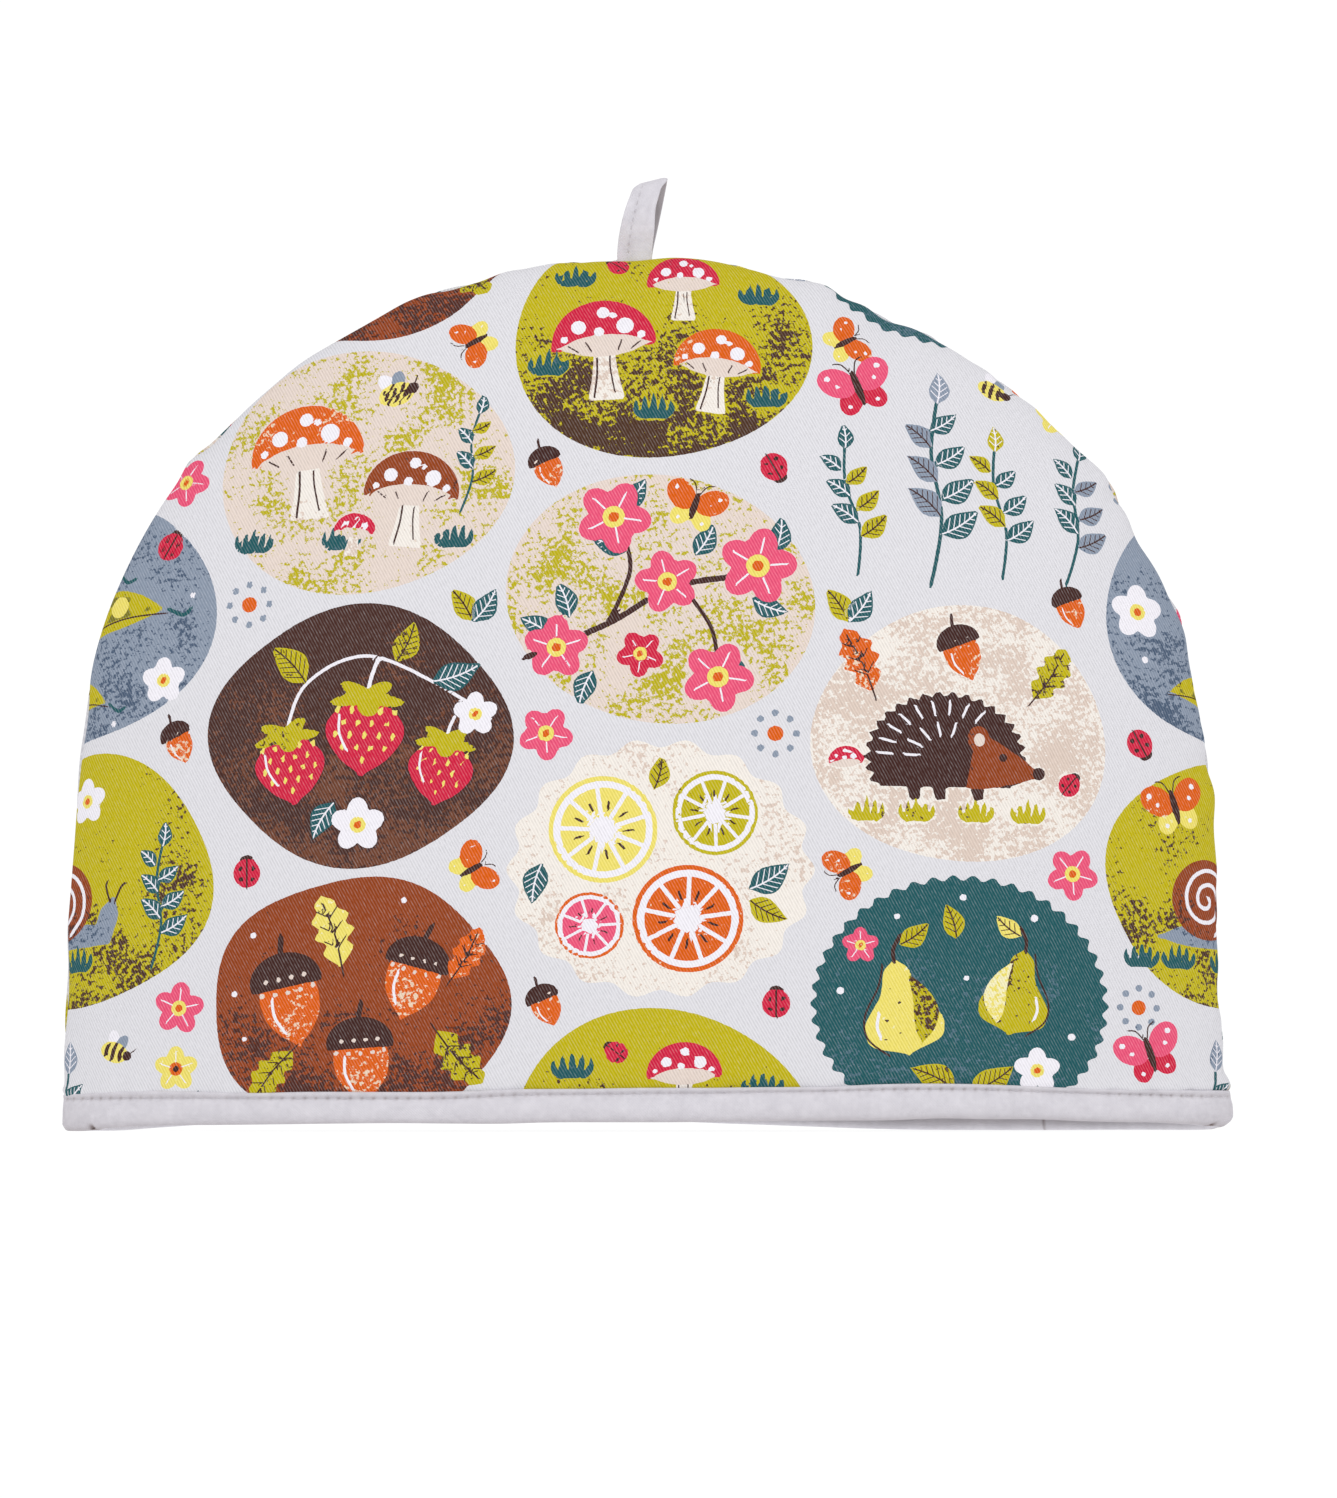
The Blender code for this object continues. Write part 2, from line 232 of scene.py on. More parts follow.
def panel_face(phi, tau, side):
    """Outer face of a panel, a square of two angles laid over the half dome. With s = sin phi and t = sin tau
    the flat place is (s sqrt(1 - t^2 / 2), t sqrt(1 - s^2 / 2)), scaled to the outline, and the openness is
    cos phi cos tau. Gives points, openness, flat height, and direction and reach from the hem's middle."""
    s, t = np.sin(phi), np.sin(tau)
    flat_x, flat_z = s * np.sqrt(1 - t * t / 2), t * np.sqrt(1 - s * s / 2)
    radius = np.maximum(np.hypot(flat_x, flat_z), 1e-9)
    cosine, sine = flat_x / radius, flat_z / radius
    reach = outline_reach(cosine, sine)
    openness = np.cos(phi) * np.cos(tau)
    x, z = flat_x * reach, flat_z * reach
    y = SEAM_GAP / 2 + panel_depth(openness) + softness(x, z, side) * openness
    lifted = RIM_HEIGHT + z * (1 - RIM_HEIGHT / DOME_HEIGHT)
    lifted = lifted + hem_lift(x, side, LIFT_SPREAD) * np.clip(1 - z / LIFT_FADE, 0, 1) ** 2
    return np.stack([x, side * y, lifted], axis=-1), openness, z, (cosine, sine, reach)


def along_hem(side):
    """A panel's hem line, as a curve of phi."""
    return lambda phi: panel_face(phi, np.zeros_like(phi), side)[0]


def cloth_places(openness, polar, steps=24):
    """Where each point lay on the flat cloth, from the hem's middle: in the same direction, at the length of
    the surface along that ray, the sum of sqrt(dr^2 + dy^2) from openness 1 outwards."""
    cosine, sine, reach = polar
    beta = np.arccos(np.clip(openness, 0, 1))
    angles = (beta * (step + 0.5) / steps for step in range(steps))
    run = sum(np.hypot(reach * np.cos(angle), depth_slope(angle)) for angle in angles) * beta / steps
    return run * cosine, run * sine


def wall_share(openness, height):
    """Share of the full wall thickness at a place: less at the seam and under the binding."""
    at_seam = SEAM_THINNING + (1 - SEAM_THINNING) * smooth(openness / SEAM_REACH)
    at_hem = HEM_THINNING + (1 - HEM_THINNING) * smooth((height - HEM_THIN_TO) / HEM_REACH)
    return at_seam * at_hem


def sewn_relief(points, openness, polar, side):
    """How far the outer face dips: a ditch along the seam, uneven puckers that fade away from it, and fine
    gathers along the binding."""
    away, across = panel_depth(openness), points[..., 0]
    around = np.arctan2(polar[1], polar[0]) * polar[2]
    uneven = wavy(around, PUCKER_WAVE, side) + 0.6 * np.sin(around / PUCKER_STEP + 2 * side)
    low = points[..., 2] - hem_lift(across, side) - STRIP_HEIGHT
    gathers = GATHER * wavy(across, GATHER_WAVE) * bell(low, GATHER_REACH) * smooth(openness * 4)
    return SEAM_DITCH * bell(away, DITCH_REACH) + PUCKER * uneven * bell(away, PUCKER_REACH) + gathers


def moved_in(face, outwards, depth, side):
    """A panel's face moved inwards by a depth, and kept on its own side of the seam."""
    face = face - outwards * depth[..., None]
    face[..., 1] = side * np.maximum(side * face[..., 1], SEAM_GAP / 2)
    return face


def make_panel(name, side, material, node):
    """A padded panel as a closed shell: the printed face, the plain inner face at a coarser step, and the rim
    between their edges. The cloth's cells are even along the hem and up the middle."""
    phi, tau = np.meshgrid(
        evenly(along_hem(side), -QUARTER, QUARTER, CELLS_ACROSS + 1),
        evenly(lambda tau: panel_face(np.zeros_like(tau), tau, side)[0], 0, QUARTER, CELLS_UP + 1))
    face, openness, height, polar = panel_face(phi, tau, side)
    outwards = unit(np.cross(np.gradient(face, axis=1), np.gradient(face, axis=0))) * -side
    # The net's upper corners lie flat on the seam, so they take their inner neighbour's direction.
    outwards[-1, 0], outwards[-1, -1] = outwards[-2, 1], outwards[-2, -2]
    coarse = np.s_[::INNER_STEP, ::INNER_STEP]
    outer = moved_in(face, outwards, sewn_relief(face, openness, polar, side), side)
    inner = moved_in(face, outwards, WALL * wall_share(openness, height), side)[coarse]

    net, inner_net = outer.shape[:2], inner.shape[:2]
    start = net[0] * net[1]
    edge, inner_edge = border(*net), border(*inner_net) + start
    cells = INNER_STEP * np.arange(len(inner_edge))[:, None] + np.arange(INNER_STEP, -1, -1)
    rim = np.hstack([edge[cells % len(edge)], inner_edge[:, None], np.roll(inner_edge, -1)[:, None]])
    inside = net_faces(*inner_net)[:, ::-1] + start
    faces = net_faces(*net).tolist() + inside.tolist() + rim.tolist()
    if side == BACK:
        faces = [corners[::-1] for corners in faces]
    points = np.concatenate([outer.reshape(-1, 3), inner.reshape(-1, 3)])
    piece = add_piece(name, points, faces, material, "printed_cotton", node)
    across, up = (np.concatenate([way.ravel(), way[coarse].ravel()]) for way in cloth_places(openness, polar))
    print_cloth(piece, across / MM * -side, up / MM, side, start)


# ---- the print: inks laid one over another

INKS = {  # sRGB colours in the order that the fields are kept, and what shows where the brush ran dry
    "ground": ((224, 223, 228), None),
    "cream": ((243, 236, 228), (222, 203, 190)),
    "blush": ((230, 214, 204), (190, 177, 14)),
    "lime": ((195, 181, 0), (78, 50, 32)),
    "soil": ((74, 44, 36), (112, 66, 44)),
    "brown": ((66, 36, 30), None),
    "teal": ((28, 89, 95), (74, 108, 122)),
    "slate": ((140, 152, 170), (76, 94, 118)),
    "orange": ((223, 96, 0), (238, 212, 186)),
    "russet": ((149, 66, 20), (82, 42, 32)),
    "crimson": ((211, 30, 66), (190, 24, 60)),
    "pink": ((236, 84, 122), None),
    "yellow": ((240, 224, 108), (246, 239, 190)),
    "white": ((243, 240, 247), None),
    "olive": ((124, 118, 24), (88, 78, 18)),
}
NUMBER = {name: number for number, name in enumerate(INKS)}
LINE_INKS = ("teal", "white", "brown")
FIELD_REACH, LINE_REACH, LINE_MARGIN, WEAR_REACH, FAR = 4.0, 0.55, 2.0, 0.4, 60.0  # in millimetres
FINEST_LINE = 0.6  # strokes thin out with their drawing's size down to this share
DARK_VEINS, VEIN_PITCH = 40, 2


def turned(x, y, angle):
    """A place or places, turned by an angle in degrees."""
    cosine, sine = math.cos(math.radians(angle)), math.sin(math.radians(angle))
    return cosine * x - sine * y, sine * x + cosine * y


class PrintedCloth:
    """Ink fields over the points of a cloth, in millimetres.

    Each ink keeps how deep every point lies in it, and the deepest one shows. To lay a shape, its own ink takes
    the greater of its field and the shape's depth, and every other ink the smaller of its field and minus that
    depth. Lines keep a signed distance to their middle, in half widths, and the distance from their edge.
    Leaves keep the places beside and along their midrib, and the depth in the leaf.
    """

    def __init__(self, u, v):
        self.u, self.v = u, v
        self.fields = np.full((len(INKS), u.size), -FIELD_REACH)
        self.fields[0] = FIELD_REACH
        self.wear = np.zeros(u.size)
        self.lines = {ink: np.full((2, u.size), FAR) for ink in LINE_INKS}
        self.leaves = np.full((3, u.size), -FIELD_REACH)

    def near(self, x, y, reach):
        """Numbers of the points within reach of the box round a place or places."""
        across = (self.u > np.min(x) - reach) & (self.u < np.max(x) + reach)
        return np.flatnonzero(across & (self.v > np.min(y) - reach) & (self.v < np.max(y) + reach))

    def lay(self, ink, where, depth, wear):
        """Lay a shape of an ink, given how deep each point lies in it."""
        depth = np.clip(depth, -FIELD_REACH, FIELD_REACH)
        own = np.maximum(self.fields[NUMBER[ink], where], depth)
        self.fields[:, where] = np.minimum(self.fields[:, where], -depth)
        self.fields[NUMBER[ink], where] = own
        self.wear[where] = np.where(depth > -WEAR_REACH, wear, self.wear[where])
        self.leaves[2, where] = np.minimum(self.leaves[2, where], -depth)
        covered = np.where(depth > 0, depth + LINE_REACH, -FAR)
        for line in self.lines.values():
            line[1, where] = np.maximum(line[1, where], covered)


class Spot:
    """A place on the cloth to draw at, with its own turn, size and handedness."""

    def __init__(self, cloth, x, y, turn=0, size=1, hand=1):
        self.cloth, self.x, self.y, self.turn, self.size, self.hand = cloth, x, y, turn, size, hand

    def out(self, x, y):
        """A place of the drawing as a place on the cloth."""
        x, y = turned(np.asarray(x, float) * self.hand, np.asarray(y, float), self.turn)
        return self.x + self.size * x, self.y + self.size * y

    def at(self, x, y, turn=0, size=1):
        """A smaller drawing inside this one, mirrored where its size is below 0."""
        x, y = self.out(x, y)
        hand = self.hand if size > 0 else -self.hand
        return Spot(self.cloth, float(x), float(y), self.turn + turn * self.hand, self.size * abs(size), hand)

    def window(self, x, y, reach):
        """The points around a place of the drawing, and their places in the drawing."""
        where = self.cloth.near(*self.out(x, y), reach * self.size + FIELD_REACH)
        u, v = turned(self.cloth.u[where] - self.x, self.cloth.v[where] - self.y, -self.turn)
        return where, u / self.size * self.hand, v / self.size

    def blob(self, ink, x, y, wide, tall=None, turn=0, lobes=0, swing=0, phase=0, floor=-np.inf,
             wear=0.06, sink=0):
        """An ellipse whose edge swings in and out by a share, lobes times round, cut off under floor.
        Its wear grows towards its foot by sink."""
        tall = tall or wide
        where, u, v = self.window(x, y, max(wide, tall) * (1 + abs(swing)))
        u, v = turned(u - x, v - y, -turn)
        ratio = np.maximum(np.hypot(u / wide, v / tall), 1e-6)
        steep = np.maximum(np.hypot(u / wide ** 2, v / tall ** 2) / ratio, 1 / max(wide, tall))
        edge = 1 + swing * np.cos(lobes * np.arctan2(v / tall, u / wide) + phase)
        depth = np.minimum((edge - ratio) / steep, v - floor)
        self.cloth.lay(ink, where, depth * self.size, wear + sink * np.clip(-v / tall, -1, 1))

    def spindle(self, ink, start, end, widths, bend=0, wear=0.06):
        """A long shape from start to end with half widths at even steps, bent sideways. Gives the points
        around it, with their places beside and along it and their depth in it."""
        (x0, y0), (x1, y1) = start, end
        length = math.hypot(x1 - x0, y1 - y0)
        where, u, v = self.window((x0 + x1) / 2, (y0 + y1) / 2, length / 2 + max(widths) + abs(bend))
        along = ((u - x0) * (x1 - x0) + (v - y0) * (y1 - y0)) / length
        beside = ((u - x0) * (y1 - y0) - (v - y0) * (x1 - x0)) / length
        t = np.clip(along / length, 0, 1)
        beside = beside - bend * 4 * t * (1 - t)
        depth = smooth_through(np.linspace(0, 1, len(widths)), widths, t) - np.abs(beside)
        depth = np.minimum(depth, np.minimum(along, length - along))
        self.cloth.lay(ink, where, depth * self.size, wear)
        return where, np.stack([beside, along, depth]) * self.size

    def dots(self, ink, *places):
        """Round dots, each (x, y, radius)."""
        for x, y, radius in places:
            self.blob(ink, x, y, radius)

    def ray(self, ink, width, angle, start, stop):
        """A straight stroke outwards from the middle, at an angle from straight up."""
        x, y = turned(0, 1, angle)
        self.line(ink, width, (start * x, start * y), (stop * x, stop * y))

    def line(self, ink, width, *places):
        """A smooth stroke through places."""
        places, last = np.array(places, float), len(places) - 1
        if last > 1:
            places = smooth_through(np.arange(last + 1), places, np.linspace(0, last, 8 * last + 1))
        x, y = self.out(*places.T)
        half = 0.5 * width * max(self.size, FINEST_LINE)
        where = self.cloth.near(x, y, half + LINE_MARGIN)
        u, v = self.cloth.u[where, None] - x[:-1], self.cloth.v[where, None] - y[:-1]
        step_x, step_y = np.diff(x), np.diff(y)
        t = np.clip((u * step_x + v * step_y) / (step_x ** 2 + step_y ** 2), 0, 1)
        off_x, off_y = u - t * step_x, v - t * step_y
        distance = np.hypot(off_x, off_y)
        nearest = distance.argmin(axis=1)
        pick = (np.arange(where.size), nearest)
        side, distance = np.sign(step_x[nearest] * off_y[pick] - step_y[nearest] * off_x[pick]), distance[pick]
        kept = self.cloth.lines[ink]
        closer = distance - half < kept[1, where]
        kept[:, where[closer]] = np.stack([side * distance / half, distance - half])[:, closer]


# ---- motifs, in millimetres at size 1

def leaf(spot, ink="teal", pale=False):
    """A leaf from its stalk upwards. Its places are kept for its veins, a stretch further along for dark
    ones. A teal leaf has white veins, and so has one that is asked to be pale."""
    where, places = spot.spindle(ink, (0, 0), (0, 15), (0.3, 3.15, 4.2, 3.36, 1.68, 0), 1, wear=0.1)
    places[1] += DARK_VEINS * (ink != "teal" and not pale)
    nearer = places[2] > spot.cloth.leaves[2, where]
    spot.cloth.leaves[:, where[nearer]] = places[:, nearer]


def sprig(spot, leaves, inks=("teal", "lime"), length=40):
    """A bent stalk, bare at its foot, with leaves on alternate sides and one at its tip."""
    spot.line("teal", 0.9, (0, 0), (2, 0.35 * length), (-1, 0.7 * length), (0, length))
    for number in range(1, leaves):
        share = 0.18 + 0.74 * number / leaves
        turn = -52 if number % 2 else 52
        leaf(spot.at(2 * math.sin(5 * share), share * length, turn, 0.86 - 0.35 * share), inks[number % 2])
    leaf(spot.at(0, length - 1, size=0.6), inks[0], pale=True)


def toadstool(spot, cap="crimson"):
    spot.spindle("cream", (-0.6, -14), (0, 3), (4.4, 3.4, 2.7, 2.5), wear=0.3)
    if spot.size > 0.7:
        spot.line("brown", 0.5, (-3.6, -13), (-2.4, -7), (-2, -1))
        spot.line("brown", 0.4, (1.6, -12), (1, -6), (1.2, -2))
    spot.blob(cap, 0, 1, 13, 12, floor=-1.2, wear=0.14)
    spot.spindle("blush", (-12.6, 0.6), (12.6, 0.6), (0, 2.2, 3, 2.2, 0))
    for number in (-2, -1, 1, 2) if spot.size > 0.9 else ():
        spot.line("brown", 0.4, (4.4 * number, 1.7 - 0.2 * number ** 2), (3.4 * number, -0.6))
    spot.dots("white", (-6, 6, 1.9), (0.4, 9.6, 1.6), (5.6, 5.6, 2.2), (-1, 4.4, 1.3), (9.4, 2.9, 1.1),
              (-9.8, 2.9, 1), (3, 8.6, 0.9))


def pear(spot, skin, shade, leaf_ink):
    spot.spindle(skin, (0, -13), (0.6, 13), (0.4, 8.2, 10, 9.6, 7.4, 5, 3.9, 3, 0), wear=0.1)
    spot.spindle(shade, (3.4, -11.2), (2.6, 9), (0, 2.4, 3.2, 2.6, 1.4, 0), bend=3.2, wear=0.5)
    spot.line("brown", 0.5, (-2.6, 11.4), (-4.6, 6), (-9.2, -1), (-9.4, -7), (-5, -12))
    spot.line("brown", 1, (0.4, 12), (0.8, 15), (3, 18))
    leaf(spot.at(2.4, 15.8, -62, 0.66), leaf_ink)
    spot.dots("brown", (-4, -3, 0.55), (-1, -7, 0.5), (-5, -8, 0.5), (0, 1, 0.5), (-2, 5, 0.45))
    spot.line("white", 0.8, (-5.6, -1), (-6.6, -4), (-6.2, -7))


def citrus(spot, rind, flesh, wedges=9):
    spot.blob(rind, 0, 0, 13.4, wear=0.1)
    spot.blob("white", 0, 0, 12.2)
    spot.blob(flesh, 0, 0, 10.5)
    for number in range(wedges):
        spot.ray("white", 1.1, 360 * number / wedges + 8, 3, 11.4)
        spot.ray("brown", 0.6, 360 * (number + 0.5) / wedges + 8, 5.4, 7)
    spot.blob("white", 0, 0, 3.2, lobes=wedges, swing=0.16)


def strawberry(spot, stalk=True):
    if stalk:
        spot.line("white", 0.9, (0, 7), (0.5, 11), (1.9, 16.2))
    spot.spindle("crimson", (0, -12), (0, 7.4), (0.6, 4.8, 7.6, 9.2, 8.8, 5.6, 0), wear=0.12)
    for row in range(5):
        for place in range(-2, 3):
            x, y = 3.4 * (place + 0.5 * (row % 2)), 3.4 - 2.9 * row
            if abs(x) < 7.4 - 0.45 * (row - 1) ** 2:
                spot.blob("yellow", x, y, 0.62, 0.95)
    spot.blob("lime", 0, 6.6, 7, 3.4, lobes=5, swing=0.34, phase=1.2, wear=0.1)
    spot.line("white", 0.6, (-6.2, 2), (-6, -2), (-4, -6))


def blossom(spot, petals="pink", heart="yellow"):
    for turn in range(0, 360, 72):
        spot.blob(petals, *turned(0, 5.4, turn), 3.9, 4.9, turn)
    for turn in range(0, 360, 72):
        spot.ray("white", 0.5, turn, 2.6, 7.4)
    spot.blob(heart, 0, 0, 3.1)
    spot.blob("brown" if heart == "orange" else "orange", 0, 0, 1.5)


def acorn(spot):
    spot.spindle("orange", (0, -12), (0, 5), (0.4, 3.6, 6, 6.8, 6.8, 6), wear=0.3)
    spot.line("white", 0.7, (-4, 0), (-4.2, -4), (-2.6, -8))
    spot.blob("brown", 0, 3.6, 8.4, 6.6, floor=-1.4)
    spot.dots("blush", *((3 * number, 0.9 + 0.12 * number ** 2, 0.62) for number in (-2, -1, 0, 1, 2)))
    spot.dots("blush", *((3 * number, 4.3, 0.62) for number in (-1.5, -0.5, 0.5, 1.5)))
    spot.line("brown", 1.3, (0, 9.6), (1, 13.6))


def oak_leaf(spot, ink="orange"):
    spot.spindle(ink, (0, 0), (0, 24), (0.6, 3, 5, 3.4, 6.6, 4.4, 6.2, 3.4, 3.2, 0), bend=1, wear=0.3)
    spot.line("brown", 0.6, (0, -3), (1, 10), (0, 21))
    for height in (6, 11, 16):
        for hand in (-1, 1):
            spot.line("brown", 0.4, (0.8, height), (3.4 * hand + 0.8, height + 3))


def butterfly(spot, wing="orange", tail="yellow"):
    for hand in (-1, 1):
        spot.blob(tail, 3.9 * hand, -3.8, 3.4, 4.2, turn=32 * hand)
        spot.blob(wing, 5.8 * hand, 3.4, 4.6, 6.2, turn=-52 * hand, wear=0.1)
        spot.dots("white", (8.2 * hand, 5.6, 1), (6 * hand, 2.2, 0.8), (4.4 * hand, -5, 0.8))
        spot.line("brown", 0.45, (0.6 * hand, 5), (2.2 * hand, 8.6), (4.4 * hand, 9.6))
    spot.spindle("brown", (0, -6), (0, 6), (0.3, 1, 1.2, 1.1, 0.7))


def bee(spot):
    spot.blob("white", -1.4, 3.8, 2.2, 3.8, turn=24)
    spot.blob("slate", 1.8, 3.6, 2, 3.4, turn=-18)
    spot.blob("yellow", 0, 0, 5.4, 3.6)
    for x, tall in ((-2.7, 2.6), (0, 3.4), (2.7, 2.6)):
        spot.spindle("brown", (x, -tall), (x, tall), (0.6, 0.75, 0.6), bend=-0.4)
    spot.blob("brown", 5.2, 0.2, 1.7)
    spot.line("brown", 0.4, (6, 1.4), (7.6, 3.2))


def ladybird(spot):
    spot.blob("brown", 0, 3.6, 2.4, 2)
    spot.blob("crimson", 0, 0, 4.2, 4.4)
    spot.line("brown", 0.55, (0, 4.2), (0, -4.2))
    spot.dots("brown", (-2, 1.4, 0.8), (2, 1.4, 0.8), (-1.8, -1.8, 0.8), (1.8, -1.8, 0.8))


def snail(spot):
    spot.spindle("slate", (-14, -8), (13, -7.4), (0.4, 1.9, 2.7, 2.7, 2.5, 2), bend=-0.6, wear=0.2)
    spot.spindle("slate", (11, -8.6), (14.4, 1), (2.4, 2.4, 2.3, 0.6), wear=0.2)
    spot.line("brown", 0.5, (13.4, 0), (12.4, 3.4), (12.8, 4.6))
    spot.line("brown", 0.5, (14.6, 0), (16.2, 3.2), (17.2, 4))
    spot.blob("russet", -1, 1, 9.6, 9, wear=0.24)
    turns = np.linspace(0, 4.6 * math.pi, 22)
    radius = 8 * (1 - turns / (5.1 * math.pi))
    spot.line("white", 0.9, *zip(-1 + radius * np.cos(turns - 1.2), 1 + radius * np.sin(turns - 1.2)))


def hedgehog(spot):
    for x in (-8, -2, 7):
        spot.spindle("brown", (x, -5), (x + 0.6, -12), (2.4, 1.9, 1.5, 1.2))
    spot.blob("brown", 0, -2, 18.5, 15, lobes=34, swing=0.045, floor=-7, wear=0.1)
    spot.spindle("russet", (6, -2.6), (22.5, -5.8), (6.6, 6, 4.4, 2.6, 0.8), wear=0.1)
    spot.dots("brown", (22.2, -5.4, 1.5), (13.6, -1.8, 1))
    spot.blob("russet", 7.8, 2.6, 2.6, 3)
    spot.blob("blush", 8, 2.3, 1.3, 1.6)
    for reach, spines in ((0.36, 6), (0.70, 10)):
        for number in range(spines):
            angle = math.radians(176 - 150 * number / spines)
            x, y = 18.5 * math.cos(angle), 15 * math.sin(angle)
            if reach * x < 4 or reach * y > 8:
                spot.line("white", 0.6, *((share * x, share * y - 2) for share in (reach, reach + 0.17)))


def pea_pod(spot):
    spot.spindle("lime", (-17, 0), (17, 0), (0, 2.6, 4.6, 5, 4.6, 2.6, 0), bend=-4, wear=0.2)
    spot.spindle("olive", (-14, 0.6), (14, 0.6), (0, 1.9, 2.9, 3.1, 2.9, 1.9, 0), bend=-4)
    for number in range(-2, 3):
        spot.blob("yellow" if number % 2 else "lime", 4.7 * number, 4.4 - 0.26 * number ** 2, 2.4)
    spot.line("teal", 0.9, (17, 0), (20, -2), (22, -1))
    spot.line("brown", 0.4, (-16, -0.6), (-6, 0.9), (6, 0.9), (16, -0.6))


def grass(spot, ink="teal"):
    for number in range(5):
        lean = (number - 2) * 2.1
        spot.spindle(ink, (lean * 0.5, 0), (lean, 8.5 - abs(number - 2.2)), (0.9, 0.9, 0.6, 0), 0.4 * lean)


def dot_ring(spot):
    for turn in range(0, 360, 45):
        spot.blob("slate", *turned(6.2, 0, turn), 1.15)
    spot.blob("orange", 0, 0, 2.4)


def patch(spot, ink, lobes, swing, phase, wear, sink=0, wide=45, tall=39):
    spot.blob(ink, 0, 0, wide, tall, 0, lobes, swing, phase, wear=wear, sink=sink)


# ---- patches, one to a cell of the half-drop

def draw(spot, rows):
    """Draw motifs one over another. A row is a motif, its place, turn and size, and what else it takes."""
    for motif, x, y, turn, size, *rest in rows:
        motif(spot.at(x, y, turn, size), *rest)


TOADSTOOLS = (
    (patch, 0, 0, 0, 1, "lime", 3, 0.03, 0.6, 0.34, 0.42),
    (toadstool, -17, -3, 5, 1.22), (toadstool, 17, -10, -6, 1.02, "orange"), (toadstool, 7, 18, 2, 0.86),
    *((grass, x, y, 0, 1.15) for x, y in ((-34, -12), (-2, -26), (32, -22), (-26, 18), (30, 12))),
    (ladybird, -13, 26, 52, 0.8),
)
PEARS = (
    (patch, 0, 0, 0, 1, "teal", 46, 0.022, 0, 0.22, 0.16),
    (pear, -19, -1, 10, 1.2, "yellow", "lime", "lime"), (pear, 17, 4, -12, -1.08, "lime", "yellow", "yellow"),
    (leaf, -2, -28, 62, 1.1, "lime"), (leaf, 2, -28, -58, 1.1, "lime"), (leaf, -2, 20, 18, 0.8, "lime"),
    (blossom, 23, -21, 0, 0.72, "white"), (blossom, -31, 18, 0, 0.55),
    (Spot.dots, 0, 0, 0, 1, "white", (34, -10, 1.2), (-37, 4, 1.2), (0, 33, 1.1), (22, 27, 1.2),
     (-20, 27, 1), (1, 8, 0.9)),
)
CITRUS = (
    (patch, 0, 0, 0, 1, "cream", 18, 0.035, 0, 0.3, 0, 44, 38),
    (citrus, -17, 12, 0, 1.2, "yellow", "yellow"), (citrus, 16, 17, 14, 0.95, "lime", "lime"),
    (citrus, 8, -15, 30, 1.22, "orange", "orange"), (citrus, -21, -17, 8, 0.76, "orange", "pink", 7),
    (leaf, -35, 2, 168, 0.9), (leaf, 26, -6, -56, 1),
    (leaf, 26, -9, -118, 0.9, "lime"), (leaf, -2, 24, -12, 0.75, "lime"),
)
STRAWBERRIES = (
    (patch, 0, 0, 0, 1, "soil", 4, 0.035, 0.4, 0.36, 0.24),
    (Spot.line, 0, 0, 0, 1, "white", 1, (-22, 0), (-16, 16), (4, 24), (32, 10)),
    (strawberry, -21, -7, 8, 1.15, False), (strawberry, 2, 3, -4, 1.28), (strawberry, 25, -9, -10, 1.05),
    (leaf, -16, 16, 44, 1.1, "lime"), (leaf, 11, 22, -24, 0.95, "lime"),
    (leaf, 22, 16, -70, 1.05), (leaf, -7, -20, 150, 0.9),
    (blossom, 0, -27, 0, 0.8, "white"), (blossom, 35, 6, 0, 0.66, "white"),
)
BLOSSOMS = (
    (patch, 0, 0, 0, 1, "blush", 2, 0.04, 1, 0.40),
    (Spot.line, 0, 0, 0, 1, "brown", 1.8, (-40, -18), (-16, -8), (6, 4), (38, 8)),
    (Spot.line, 0, 0, 0, 1, "brown", 1.3, (-16, -8), (-9, 9), (-13, 24)),
    (Spot.line, 0, 0, 0, 1, "brown", 1.2, (6, 4), (15, -9), (17, -22)),
    *((leaf, x, y, turn, 0.82) for x, y, turn in (
        (-27, -6, 20), (-10, 14, 70), (10, 13, -30), (27, 0, -110), (20, -17, -150), (-20, -22, 160),
        (-32, -12, 60), (34, 14, -10), (-12, 28, -40))),
    *((blossom, x, y, 7 * x, size) for x, y, size in (
        (-14, 25, 1.1), (-31, -15, 0.95), (17, -24, 1.05), (29, 10, 1.15), (2, 5, 0.95))),
    (blossom, -6, -17, -42, 0.7, "crimson"), (butterfly, 10, 28, -18, 0.84),
)
HEDGEHOG = (
    (patch, 0, 0, 0, 1, "cream", 3, 0.03, 2, 0.5),
    (oak_leaf, -27, 13, 24, 0.88), (oak_leaf, 22, 12, -34, 0.8, "lime"),
    (hedgehog, -5, -4, 0, 1.28), (acorn, 0, 26, 20, 0.8),
    *((grass, x, -26, 0, 1, "lime") for x in (-29, -14, 4, 20)),
    (ladybird, 33, -14, -40, 0.8), (toadstool, -35, -9, 6, 0.42),
)
SPRIGS = (
    (sprig, -31, -33, 5, 1, 7), (sprig, -9, -36, -3, 1.28, 8, ("slate", "teal"), 46),
    (sprig, 13, -33, 2, 1.02, 7, ("lime", "teal")), (sprig, 33, -34, -8, 1.05, 7, ("teal", "slate")),
    (butterfly, -30, 26, 20, 1, "pink", "crimson"), (bee, 12, 28, -20, 0.9),
    (blossom, 33, 22, 0, 0.7, "yellow", "orange"),
)
